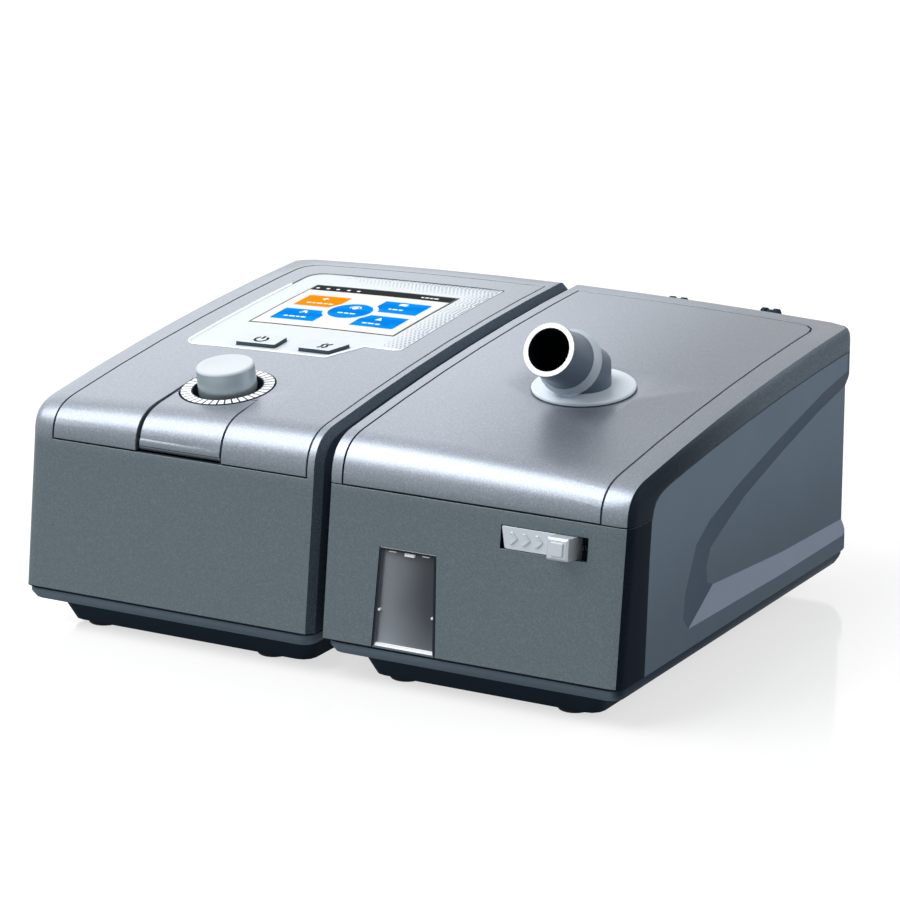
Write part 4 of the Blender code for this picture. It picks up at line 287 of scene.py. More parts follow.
def plastic(name, colour, roughness, grain=0.15, rounding=True, shine=0.20, glow=0.0,
            layers=(), **values):
    """Moulded plastic with a fine grain and a faint unevenness in its gloss."""
    made, tree, shader = material(name, Specular_IOR_Level=shine, **values)
    texture = group_node(tree, "moulded_grain")
    shade = mixed(tree, texture.outputs["Patches"], *shades(colour, PLASTIC_SPREAD))
    shade = layered(tree, shade, texture.outputs["Patches"], PLASTIC_SPREAD, layers)
    tree.links.new(shade, shader.inputs["Base Color"])
    # A glow: the screen's own light, and elsewhere a painted highlight or painted light
    if glow:
        tree.links.new(shade, shader.inputs["Emission Color"])
        shader.inputs["Emission Strength"].default_value = glow
    rough = math_node(tree, "MULTIPLY_ADD", texture.outputs["Patches"], 0.12)
    rough.node.inputs[2].default_value = roughness - 0.06
    tree.links.new(rough, shader.inputs["Roughness"])
    bump(tree, shader, texture.outputs["Height"], grain,
         bpy.context.scene.airway_sizes.edge if rounding else 0)
    return made


def window_pane():
    """Smoked clear plastic with painted light and shade: pale at the left and dark at the top right."""
    made, tree, shader = material("smoked_pane_painted_light", Roughness=0.15, Specular_IOR_Level=0.25)
    low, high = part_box("water_window")
    axes = object_axes(tree)
    # Painted light and shade: pale towards the bottom left, dark towards the top right
    up = between(tree, axes["Z"], low.z - 0.004, low.z + 0.020)
    across = between(tree, axes["X"], low.x - 0.004, high.x - 0.002)
    both = math_node(tree, "MULTIPLY_ADD", across, 0.68)
    tree.links.new(math_node(tree, "MULTIPLY", up, 0.26), both.node.inputs[2])
    texture = group_node(tree, "moulded_grain", Patch=90.0)
    uneven = math_node(tree, "MULTIPLY_ADD", texture.outputs["Patches"], 0.10)
    tree.links.new(both, uneven.node.inputs[2])
    shade = mixed(tree, uneven, (0.37, 0.41, 0.46, 1), (0.028, 0.037, 0.050, 1))
    tree.links.new(shade, shader.inputs["Base Color"])
    return made


def finishes():
    """All materials by name."""
    colours = bpy.context.scene.airway_colours
    silver, graphite, slate = tuple(colours.silver), tuple(colours.graphite), tuple(colours.slate)
    front = (graphite, [("Z", SEAM_HEIGHT + 0.012, SEAM_HEIGHT - 0.004)])
    # The lid's silver is a lighter copy of the shell's silver, as painted light
    lid = tuple(channel * 1.14 for channel in silver)
    # Painted shade: the lid's silver darkens towards its right and rear
    lid_painted_shade = (tuple(channel * 0.68 for channel in lid), [("X", 0.030, 0.115), ("Y", -0.112, -0.085)])
    port = tuple(joint_frame("elbow_swivel").translation)
    screen = {"grain": 0.0, "rounding": False, "glow": 0.15, "shine": 0.0}
    return {
        "shell": paint("silver_shell", silver, 0.60, 0.36, 0.6, layers=(front,)),
        "lid": paint("silver_lid_painted_light", lid, 0.60, 0.36, 0.6, layers=(lid_painted_shade, front), dish=port),
        # Painted shade: dark copies of the paint for the shells' right-facing sides; the lid's side darkens
        # further towards the front
        "inner_flank": paint("inner_flank", (0.055, 0.076, 0.102), 0.0, 0.55, 0.9, 0.02),
        "flank": paint("lid_flank_painted_shade", (0.110, 0.138, 0.168), 0.0, 0.55, 0.9, 0.02,
                       layers=(((0.010, 0.017, 0.026), [("Y", 0.040, -0.090)]),)),
        "corner": paint("corner_flank_painted_shade", (0.0055, 0.0100, 0.0185), 0.0, 0.55, 0.9, 0.01),
        # The side panel's slate is painted darker towards the bottom, as painted shade
        "slate": plastic("slate_plastic", slate, 0.6, shine=0.03, layers=(
            (tuple(channel * 0.72 for channel in slate), [("Z", 0.085, 0.025)]),)),
        # Copies of the slate for the recess's slopes: darker on the downward slope as painted shade, lighter on
        # the upward slope as painted light
        "slate_low": plastic("slate_painted_shade", (0.068, 0.096, 0.134), 0.6, shine=0.03),
        "slate_high": plastic("slate_painted_light", (0.270, 0.318, 0.405), 0.6, shine=0.03),
        "dark": plastic("dark_plastic", (0.022, 0.036, 0.056), 0.6, grain=0.3, shine=0.02),
        # The base's band: a lighter copy of the base's dark plastic as painted light, dark again at its right end
        # as painted shade
        "band": plastic("band_painted_light", (0.148, 0.200, 0.252), 0.5, grain=0.3, shine=0.04,
                        layers=(((0.022, 0.036, 0.056), [("X", 0.1360, 0.1395)]),)),
        "ring": plastic("ring_plastic", (0.028, 0.040, 0.054), 0.4, grain=0.1, shine=0.05),
        "white": plastic("white_plastic", (0.60, 0.655, 0.70), 0.30, grain=0.04),
        "key": plastic("pale_key", (0.58, 0.64, 0.69), 0.30, grain=0.04),
        # A dark copy of the keys' plastic for their sides, as painted shade
        "key_side": plastic("key_painted_shade", (0.055, 0.080, 0.105), 0.35, grain=0.04, rounding=False,
                            shine=0.05),
        "grey": plastic("light_grey_plastic", (0.75, 0.83, 0.92), 0.30, grain=0.04),
        # The elbow's body and collar: darker copies of its light grey, as painted shade
        "mid_grey": plastic("mid_grey_plastic", (0.092, 0.126, 0.172), 0.35, grain=0.04),
        "collar": plastic("collar_painted_shade", (0.44, 0.51, 0.58), 0.30, grain=0.04),
        # A glowing white, as a painted highlight on the elbow's mouth and the bezel's bead
        "rim": plastic("rim_painted_highlight", (0.90, 0.92, 0.94), 0.25, grain=0.02, glow=0.22),
        # Near black, as painted shade inside the elbow's bores and in the gap round the knob
        "bore": plastic("bore_painted_shade", (0.004, 0.007, 0.012), 0.5, grain=0.02, rounding=False,
                        shine=0.02),
        "satin": plastic("satin_silver", (0.36, 0.43, 0.47), 0.33, grain=0.08, Metallic=0.5),
        # A paler copy of the knob's satin silver for its top face, as painted light
        "cap": plastic("knob_top_painted_light", (0.62, 0.67, 0.71), 0.35, grain=0.04, shine=0.05),
        # The spring's steel painted near black, as painted shade in the latch's slot
        "coil": paint("spring_wire_painted_shade", (0.030, 0.036, 0.044), 0.9, 0.40, contrast=0.3),
        "latch": plastic("latch_silver", (0.59, 0.65, 0.70), 0.35, grain=0.05, Metallic=0.3),
        "steel": plastic("steel_parts", (0.5, 0.51, 0.53), 0.3, grain=0.05, Metallic=1.0),
        "rubber": plastic("black_rubber", (0.012, 0.012, 0.014), 0.7, grain=0.3),
        "silicone": plastic("pale_silicone", (0.55, 0.60, 0.64), 0.5),
        "clear": plastic("clear_plastic", (0.85, 0.90, 0.93), 0.12, grain=0.0, Transmission_Weight=0.9),
        "pane": window_pane(),
        "strip": plastic("pane_edge", (0.17, 0.20, 0.24), 0.3, grain=0.1, rounding=False),
        "smoke": plastic("smoked_edge", (0.022, 0.030, 0.040), 0.3, grain=0.0, shine=0.05),
        # A glowing near white, as painted highlights on the window's edges, top faces and pegs
        "frost": plastic("edge_painted_highlight", (0.86, 0.88, 0.90), 0.2, rounding=False, glow=0.2),
        "glass": plastic("screen_glass", (0.008, 0.010, 0.013), 0.12, grain=0.0, shine=0.1),
        "board": plastic("circuit_board", (0.02, 0.2, 0.09), 0.5),
        "foam": plastic("filter_foam", (0.12, 0.13, 0.14), 0.9, grain=0.5),
        # Dark ink: print of the keys' symbols, and painted shade along seams and in the window's groove
        "ink": plastic("dark_ink_and_seam_shade", (0.012, 0.017, 0.023), 0.6, rounding=False, shine=0.02),
        # White print for the dial's marks, with a faint glow as painted light
        "mark": plastic("white_mark_painted_glow", (0.90, 0.92, 0.94), 0.4, rounding=False, glow=0.1),
        "dimple": plastic("dimple_grey", (0.20, 0.25, 0.31), 0.5, rounding=False, shine=0.05),
        "backlight": plastic("screen_backlight", (0.74, 0.72, 0.70), 0.4, **screen),
        "status": plastic("screen_status", (0.026, 0.031, 0.032), 0.4, **screen),
        "orange": plastic("screen_orange", (0.84, 0.235, 0.004), 0.4, **screen),
        "blue": plastic("screen_blue", (0.002, 0.235, 0.78), 0.4, **screen),
        "blue_low": plastic("screen_blue_low", (0.002, 0.185, 0.64), 0.4, **screen),
        "icon": plastic("screen_icon", (0.88, 0.91, 0.93), 0.4, **screen),
    }


NODE_FINISH = {
    "shell": ("blower_housing", "top_cover", "card_door", "humidifier_housing"),
    "lid": ("lid_frame", "lid_panel"),
    "slate": ("side_panel", "filter_cover"),
    "dark": ("blower_base", "humidifier_base", "docking_tongue_front", "docking_tongue_rear", "well_liner",
             "power_switch", "mode_switch", "latch_carrier", "power_socket", "hinge_pin_left",
             "hinge_pin_right", "latch_spring"),
    "ring": ("dial_ring",),
    "white": ("display_bezel", "impeller"),
    "key": ("power_button", "mode_button"),
    "grey": ("blower_casing", "casing_cover", "outlet_elbow"),
    "satin": ("selector_knob",),
    "latch": ("latch_slider",),
    "steel": ("display_module", "encoder_shaft", "push_plunger", "encoder_body", "card_reader", "motor_body",
              "motor_shaft", "heater_plate", "elbow_retainer"),
    "rubber": tuple(f"{unit}_foot_{index}" for unit in ("blower", "humidifier") for index in (1, 2, 3, 4)),
    "silicone": ("blower_mat", "outlet_duct", "outlet_seal", "inlet_elbow"),
    "clear": ("water_tub", "tub_cover", "water_window"),
    "glass": ("screen_window",),
    "board": ("control_board",),
    "foam": ("air_filter",),
}
FINISH_OF = {node: finish for finish, nodes in NODE_FINISH.items() for node in nodes}


# Meshes

def from_bmesh(name, built, *finishes, crease=35):
    """A smooth object from a built mesh, with sharp edges where the faces turn by more than the crease."""
    for face in built.faces:
        face.smooth = True
    limit = math.radians(crease)
    for edge in built.edges:
        alike = len({face.material_index for face in edge.link_faces}) == 1
        edge.smooth = alike and len(edge.link_faces) == 2 and edge.calc_face_angle(0) < limit
    mesh = bpy.data.meshes.new(name)
    built.to_mesh(mesh)
    built.free()
    made = bpy.data.objects.new(name, mesh)
    bpy.context.scene.collection.objects.link(made)
    for finish in finishes:
        mesh.materials.append(FINISH[finish])
    return made


def ride(made, node):
    """The piece moves with a node's body."""
    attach(made, BODY[node])
    return made


def dressed(node, *finishes, pick=None, crease=32, levels=(), seam=False):
    """A smooth copy of a node that stands for it, cut at some levels.

    The pick gives each face's finish. A seam puts the last finish in a thin line round the outer skin, as painted
    shade along the seam.
    """
    built = bmesh.new()
    built.from_mesh(NODES[node].data)
    bmesh.ops.remove_doubles(built, verts=built.verts[:], dist=1e-6)
    for level in levels:
        bmesh.ops.bisect_plane(built, geom=built.verts[:] + built.edges[:] + built.faces[:],
                               plane_co=(0, 0, level), plane_no=(0, 0, 1))
    built.normal_update()
    for face in built.faces:
        face.material_index = pick(face) if pick else 0
    if seam:
        skin = [face for face in built.faces if face.normal.z > 0.5
                or abs(face.normal.x) < 0.1 and face.normal.y < 0.3 and face.normal.z > -0.2]
        line = bmesh.ops.inset_region(built, faces=skin, thickness=bpy.context.scene.airway_sizes.seam,
                                      use_boundary=True)["faces"]
        for face in line:
            face.material_index = len(finishes) - 1
    made = ride(from_bmesh(node + "_shell", built, *finishes, crease=crease), node)
    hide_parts(node)
    return made


def surface_of(*nodes):
    """A tree of the nodes' faces, for laying pieces on them."""
    verts, faces = [], []
    for node in nodes:
        mesh = NODES[node].data
        faces += [[len(verts) + index for index in face.vertices] for face in mesh.polygons]
        verts += [vertex.co.copy() for vertex in mesh.vertices]
    return BVHTree.FromPolygons(verts, faces)


WAYS = {"top": (Matrix.Identity(3), Vector((0, 0, -1))), "below": (Matrix.Identity(3), Vector((0, 0, 1))),
        "front": (Matrix(((1, 0, 0), (0, 0, -1), (0, 1, 0))), Vector((0, 1, 0)))}


def drape(built, surface, way="top"):
    """Lays a flat mesh on a surface from one side: its Z becomes the height over the surface."""
    turn, toward = WAYS[way]
    for vertex in built.verts:
        flat = turn @ Vector((vertex.co.x, vertex.co.y, 0))
        place = surface.ray_cast(flat - toward, toward)[0]
        if place is None:
            raise RuntimeError(f"nothing lies under {tuple(vertex.co)}")
        vertex.co = place - toward * vertex.co.z


def plates(name, loops, surface, low, high, *finishes, pick=None, step=0.006, way="top"):
    """Thin shapes laid on a surface. Each loop is a list of flat points."""
    built = bmesh.new()
    for loop in loops:
        built.faces.new([built.verts.new((x, y, low)) for x, y in loop])
    bmesh.ops.triangulate(built, faces=built.faces[:], ngon_method="EAR_CLIP")
    for axis in (Vector((1, 0, 0)), Vector((0, 1, 0))):
        reach = [vertex.co.dot(axis) for vertex in built.verts]
        level = min(reach) + step
        while level < max(reach):
            everything = built.verts[:] + built.edges[:] + built.faces[:]
            bmesh.ops.bisect_plane(built, geom=everything, plane_co=axis * level, plane_no=axis)
            level += step
    raised = bmesh.ops.extrude_face_region(built, geom=built.faces[:])["geom"]
    for item in raised:
        if isinstance(item, bmesh.types.BMVert):
            item.co.z = high
    bmesh.ops.recalc_face_normals(built, faces=built.faces[:])
    drape(built, surface, way)
    bmesh.ops.recalc_face_normals(built, faces=built.faces[:])
    for face in built.faces:
        face.material_index = pick(face) if pick else 0
    return from_bmesh(name, built, *finishes)


def arc(centre, radius, start, end, steps):
    return [(centre[0] + radius * math.cos(math.radians(start + (end - start) * step / steps)),
             centre[1] + radius * math.sin(math.radians(start + (end - start) * step / steps)))
            for step in range(steps + 1)]


def box_loop(left, front, right, rear, radius=0.0):
    """A rectangle's points, with rounded corners where a radius is given."""
    if not radius:
        return [(left, front), (right, front), (right, rear), (left, rear)]
    points = []
    for x, y, start in ((right - radius, front + radius, -90), (right - radius, rear - radius, 0),
                        (left + radius, rear - radius, 90), (left + radius, front + radius, 180)):
        points += arc((x, y), radius, start, start + 90, 4)
    return points


def stroke(points, width):
    """An open line's outline at a width, as one loop."""
    left, right = [], []
    for index, point in enumerate(points):
        before = Vector(points[max(index - 1, 0)])
        after = Vector(points[min(index + 1, len(points) - 1)])
        along = (after - before).normalized()
        side = Vector((-along.y, along.x)) * width / 2
        left.append(tuple(Vector(point) + side))
        right.append(tuple(Vector(point) - side))
    return left + right[::-1]


def lathe(name, profile, place, *finishes, steps=64, pick=None, crease=35):
    """A turned solid: (radius, height) points from the axis at the bottom to the axis at the top."""
    built = bmesh.new()
    rings = []
    for radius, height in profile:
        if radius == 0:
            rings.append([built.verts.new((0, 0, height))])
            continue
        rings.append([built.verts.new((radius * math.cos(math.tau * step / steps),
                                       radius * math.sin(math.tau * step / steps), height))
                      for step in range(steps)])
    for low, high in zip(rings, rings[1:]):
        for step in range(steps):
            after = (step + 1) % steps
            corners = [low[step % len(low)], low[after % len(low)],
                       high[after % len(high)], high[step % len(high)]]
            built.faces.new(list(dict.fromkeys(corners)))
    bmesh.ops.recalc_face_normals(built, faces=built.faces[:])
    for face in built.faces:
        face.material_index = pick(face) if pick else 0
    built.transform(place)
    return from_bmesh(name, built, *finishes, crease=crease)


def tube(name, path, radius, *finishes, sides=8):
    """A round bead along a path of points, with closed ends."""
    built = bmesh.new()
    rings = []
    for index, point in enumerate(path):
        along = (path[min(index + 1, len(path) - 1)] - path[max(index - 1, 0)]).normalized()
        side = along.cross(Vector((0, 0, 1))).normalized()
        up = side.cross(along)
        rings.append([built.verts.new(point + radius * (math.cos(math.tau * step / sides) * side
                                                        + math.sin(math.tau * step / sides) * up))
                      for step in range(sides)])
    for low, high in zip(rings, rings[1:]):
        for step in range(sides):
            after = (step + 1) % sides
            built.faces.new([low[step], low[after], high[after], high[step]])
    built.faces.new(rings[0])
    built.faces.new(rings[-1])
    bmesh.ops.recalc_face_normals(built, faces=built.faces[:])
    return from_bmesh(name, built, *finishes, crease=60)


def frame_at(origin, normal):
    """A matrix with its Z along a normal and its X as near to the world's as can be."""
    normal = Vector(normal).normalized()
    across = Vector((1, 0, 0))
    across = (across - across.dot(normal) * normal).normalized()
    turn = Matrix((across, normal.cross(across), normal)).transposed().to_4x4()
    return Matrix.Translation(origin) @ turn


def middle_of(node):
    low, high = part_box(node)
    return (low + high) / 2


def joint_frame(name):
    return frame_at(JOINTS[name]["pos_m"], JOINTS[name]["axis"])


# Geometry node trees

class Tree:
    """A geometry node tree under construction, with its named inputs."""

    def __init__(self, name, inputs):
        self.tree = bpy.data.node_groups.new(name, "GeometryNodeTree")
        self.tree.is_modifier = True
        self.identifiers = {label: socket(self.tree, label, kind, default=default).identifier
                            for label, kind, default in inputs}
        socket(self.tree, "Geometry", "NodeSocketGeometry", output=True)
        self.given = self.tree.nodes.new("NodeGroupInput").outputs
        self.made = self.tree.nodes.new("NodeGroupOutput").inputs

    def node(self, kind, values=(), **settings):
        """A node with its settings, and with inputs set from values or linked sockets."""
        node = self.tree.nodes.new(kind)
        for key, value in settings.items():
            setattr(node, key, value)
        for key, value in dict(values).items():
            if isinstance(value, bpy.types.NodeSocket):
                self.tree.links.new(value, node.inputs[key])
            else:
                node.inputs[key].default_value = value
        return node.outputs

    def calc(self, operation, first, second=0.0, clamp=False):
        return self.node("ShaderNodeMath", {0: first, 1: second}, operation=operation, use_clamp=clamp)[0]

    def vector(self, x=0.0, y=0.0, z=0.0):
        return self.node("ShaderNodeCombineXYZ", {0: x, 1: y, 2: z})[0]

    def grown(self, name, finish, values):
        """The plain mesh that the tree makes with these input values."""
        joined = self.node("GeometryNodeRealizeInstances", {0: self.result})[0]
        joined = self.node("GeometryNodeSetMaterial", {0: joined, "Material": FINISH[finish]})[0]
        self.tree.links.new(joined, self.made[0])
        carrier = bpy.data.objects.new(name + "_carrier", bpy.data.meshes.new(name + "_carrier"))
        bpy.context.scene.collection.objects.link(carrier)
        modifier = carrier.modifiers.new("repeats", "NODES")
        modifier.node_group = self.tree
        for label, value in values.items():
            modifier[self.identifiers[label]] = value
        depsgraph = bpy.context.evaluated_depsgraph_get()
        mesh = bpy.data.meshes.new_from_object(carrier.evaluated_get(depsgraph))
        bpy.data.objects.remove(carrier)
        if not mesh.polygons:
            raise RuntimeError(f"{name} came out empty")
        return mesh


def mark_ring_tree():
    """Flat wedges round a circle, wider at their outer ends."""
    made = Tree("ring_marks", [
        ("Count", "NodeSocketInt", 38), ("Radius", "NodeSocketFloat", 0.0175),
        ("Length", "NodeSocketFloat", 0.0038), ("Fill", "NodeSocketFloat", 0.78),
        ("Thickness", "NodeSocketFloat", 0.00012)])
    given = made.given
    circle = made.node("GeometryNodeMeshCircle", {"Vertices": given["Count"], "Radius": given["Radius"]})[0]
    pitch = made.calc("DIVIDE", made.calc("MULTIPLY", given["Radius"], math.tau), given["Count"])
    width = made.calc("MULTIPLY", pitch, given["Fill"])
    wedge = made.node("GeometryNodeMeshCube", {
        "Size": made.vector(given["Length"], width, given["Thickness"])})[0]
    place = made.node("ShaderNodeSeparateXYZ", {0: made.node("GeometryNodeInputPosition")[0]})
    spread = made.calc("ADD", made.calc("DIVIDE", place["X"], given["Radius"]), 1.0)
    widened = made.vector(place["X"], made.calc("MULTIPLY", place["Y"], spread), place["Z"])
    wedge = made.node("GeometryNodeSetPosition", {0: wedge, "Position": widened})[0]
    turn = made.node("FunctionNodeAlignRotationToVector", {
        "Vector": made.node("GeometryNodeInputPosition")[0]}, axis="X", pivot_axis="Z")[0]
    made.result = made.node("GeometryNodeInstanceOnPoints", {
        "Points": circle, "Instance": wedge, "Rotation": turn})[0]
    return made


def dimple_tree():
    """Staggered dashes over a rectangle, full along its right and rear edges and fading inwards."""
    made = Tree("halftone_dashes", [
        ("Width", "NodeSocketFloat", 0.09), ("Depth", "NodeSocketFloat", 0.10),
        ("Columns", "NodeSocketInt", 60), ("Rows", "NodeSocketInt", 60),
        ("Side Reach", "NodeSocketFloat", 0.012), ("Rear Reach", "NodeSocketFloat", 0.014),
        ("Rear Start", "NodeSocketFloat", 0.03), ("Dash", "NodeSocketFloat", 0.0009),
        ("Thickness", "NodeSocketFloat", 0.00006)])
    given = made.given
    grid = made.node("GeometryNodeMeshGrid", {
        "Size X": given["Width"], "Size Y": given["Depth"],
        "Vertices X": given["Columns"], "Vertices Y": given["Rows"]})[0]
    place = made.node("ShaderNodeSeparateXYZ", {0: made.node("GeometryNodeInputPosition")[0]})
    row_pitch = made.calc("DIVIDE", given["Depth"], made.calc("SUBTRACT", given["Rows"], 1.0))
    row = made.calc("ROUND", made.calc("DIVIDE", made.calc("ADD", place["Y"], given["Depth"]), row_pitch))
    column_pitch = made.calc("DIVIDE", given["Width"], made.calc("SUBTRACT", given["Columns"], 1.0))
    shift = made.calc("MULTIPLY", made.calc("MODULO", row, 2.0), made.calc("MULTIPLY", column_pitch, -0.5))
    from_right = made.calc("SUBTRACT", made.calc("MULTIPLY", given["Width"], 0.5), place["X"])
    from_rear = made.calc("SUBTRACT", made.calc("MULTIPLY", given["Depth"], 0.5), place["Y"])
    side = made.calc("SUBTRACT", 1.0, made.calc("DIVIDE", from_right, given["Side Reach"]), clamp=True)
    rear = made.calc("SUBTRACT", 1.0, made.calc("DIVIDE", from_rear, given["Rear Reach"]), clamp=True)
    from_left = made.calc("SUBTRACT", given["Width"], from_right)
    fade = made.calc("DIVIDE", from_left, given["Rear Start"], clamp=True)
    scale = made.calc("MAXIMUM", side, made.calc("MULTIPLY", rear, fade))
    grid = made.node("GeometryNodeSetPosition", {0: grid, "Offset": made.vector(shift)})[0]
    length = made.calc("MULTIPLY", given["Dash"], 1.7)
    dash = made.node("GeometryNodeMeshCube", {
        "Size": made.vector(given["Dash"], length, given["Thickness"])})[0]
    keep = made.node("FunctionNodeCompare", {0: scale, 1: 0.18},
                     data_type="FLOAT", operation="GREATER_THAN")[0]
    size = made.calc("ADD", made.calc("MULTIPLY", scale, 0.7), 0.3)
    points = made.node("GeometryNodeMeshToPoints", {"Mesh": grid})[0]
    made.result = made.node("GeometryNodeInstanceOnPoints", {
        "Points": points, "Selection": keep, "Instance": dash,
        "Rotation": made.node("FunctionNodeEulerToRotation", {0: (0, 0, math.radians(-28))})[0],
        "Scale": made.vector(size, size, 1.0)})[0]
    return made


def screw_tree():
    """Copies of one screw head at the corners of a rectangle."""
    made = Tree("corner_screws", [
        ("Width", "NodeSocketFloat", 0.09), ("Depth", "NodeSocketFloat", 0.15),
        ("Centre", "NodeSocketVector", (0, 0, 0)), ("Head", "NodeSocketObject", None)])
    given = made.given
    grid = made.node("GeometryNodeMeshGrid", {
        "Size X": given["Width"], "Size Y": given["Depth"], "Vertices X": 2, "Vertices Y": 2})[0]
    grid = made.node("GeometryNodeSetPosition", {0: grid, "Offset": given["Centre"]})[0]
    head = made.node("GeometryNodeObjectInfo", {"Object": given["Head"]})["Geometry"]
    made.result = made.node("GeometryNodeInstanceOnPoints", {"Points": grid, "Instance": head})[0]
    return made


def draped_mesh(name, mesh, surface, way="top", crease=35):
    """A piece from a flat grown mesh, laid on a surface."""
    built = bmesh.new()
    built.from_mesh(mesh)
    drape(built, surface, way)
    bmesh.ops.recalc_face_normals(built, faces=built.faces[:])
    made = from_bmesh(name, built, crease=crease)
    for item in mesh.materials:
        made.data.materials.append(item)
    bpy.data.meshes.remove(mesh)
    return made


class AirwayColours(bpy.types.PropertyGroup):
    """Colours that a user would change."""
    silver: FloatVectorProperty(
        name="Silver", description="Metallic paint of the tops", subtype="COLOR", size=3,
        default=(0.262, 0.291, 0.338), min=0, max=1)
    graphite: FloatVectorProperty(
        name="Graphite", description="Metallic paint of the front faces", subtype="COLOR", size=3,
        default=(0.101, 0.132, 0.150), min=0, max=1)
    slate: FloatVectorProperty(
        name="Slate", description="Matte plastic of the side panel", subtype="COLOR", size=3,
        default=(0.155, 0.207, 0.265), min=0, max=1)


class AirwaySizes(bpy.types.PropertyGroup):
    """Sizes that a user would change."""
    edge: FloatProperty(
        name="Edge", description="Radius of the shells' rounded edges", unit="LENGTH",
        default=0.0004, min=0.0001, max=0.002)
    knob_edge: FloatProperty(
        name="Knob Edge", description="Radius of the knob's top edge", unit="LENGTH",
        default=0.0011, min=0.0003, max=0.003)
    # The seam line is dark ink, as painted shade along the covers' seams
    seam: FloatProperty(
        name="Seam", description="Width of the dark line along the covers' edges", unit="LENGTH",
        default=0.00035, min=0.00005, max=0.001)
    dial_marks: IntProperty(
        name="Dial Marks", description="Marks round the knob", default=38, min=12, max=72)
    dimple_pitch: FloatProperty(
        name="Dimple Pitch", description="Distance between the bezel's dimples", unit="LENGTH",
        default=0.0019, min=0.001, max=0.005)
    lip: FloatProperty(
        name="Bezel Lip", description="Radius of the bead along the bezel's edge", unit="LENGTH",
        default=0.0006, min=0.0002, max=0.002)
    symbol: FloatProperty(
        name="Symbol", description="Width of the symbols on the keys", unit="LENGTH",
        default=0.0072, min=0.003, max=0.009)


# Faces turned to the right, which take a dark copy of the paint as painted shade
def facing_right_painted_shade(face):
    return 1 if face.normal.x > 0.30 else 0


class AIRWAY_OT_paint(bpy.types.Operator):
    """Give every solid of the machine its finish"""
    bl_idname = "airway.paint"
    bl_label = "Paint the solids"

    def execute(self, context):
        FINISH.update(finishes())
        for name, finish in FINISH_OF.items():
            materials = NODES[name].data.materials
            materials.clear()
            materials.append(FINISH[finish])
        bare = set(NODES) - set(FINISH_OF)
        if bare:
            raise RuntimeError(f"no finish is given to {sorted(bare)}")
        return {"FINISHED"}


class AIRWAY_OT_shells(bpy.types.Operator):
    """Smooth the outer shells, with painted shade on their right sides and bottom edges"""
    bl_idname = "airway.shells"
    bl_label = "Smooth the shells"

    def execute(self, context):
        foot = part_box("blower_housing")[0].z + 0.0004
        rear = 0.1102

        # Bottom edges take dark ink, as painted shade at the seam over the base; right-facing faces take the
        # painted shade copy
        def skin(face):
            centre = face.calc_center_median()
            if centre.z < foot:
                return 3
            return 2 if centre.y > rear else facing_right_painted_shade(face)

        dressed("blower_housing", "shell", "inner_flank", "dark", "ink", pick=skin, levels=(foot,))
        dressed("lid_frame", "lid", "flank", "dark", "ink", pick=skin)
        dressed("humidifier_housing", "shell", "corner", "dark", "ink", pick=skin, levels=(foot,))
        # Thin lines of dark ink round the covers, as painted shade along their seams
        dressed("top_cover", "shell", "ink", seam=True)
        dressed("card_door", "shell", "ink", seam=True)
        dressed("lid_panel", "lid", "ink", seam=True)
        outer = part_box("side_panel")[1].x

        # Recess slopes facing up take the painted light copy, the others the painted shade copy
        def recess(face):
            if not 0.6 < face.normal.x < 0.992 or face.calc_center_median().x > outer - 0.0001:
                return 0
            if abs(face.normal.z) < 0.01 and face.normal.y > 0.3:
                return 0
            return 2 if face.normal.z > 0.3 else 1

        dressed("side_panel", "slate", "slate_low", "slate_high", pick=recess, crease=20)
        # The band above the plinth takes the painted light copy, and its top edge dark ink as painted shade under
        # the housing
        band, line = 0.0112, 0.0160

        def base(face):
            height = face.calc_center_median().z
            return 2 if height > line else 1 if height > band else 0

        for node in ("blower_base", "humidifier_base"):
            dressed(node, "dark", "band", "ink", pick=base, levels=(line,))
        plain = ("well_liner", "filter_cover", "power_socket", "docking_tongue_front", "docking_tongue_rear",
                 "screen_window", "outlet_seal", "latch_carrier")
        for node in plain + NODE_FINISH["rubber"]:
            dressed(node, FINISH_OF[node])
        return {"FINISHED"}


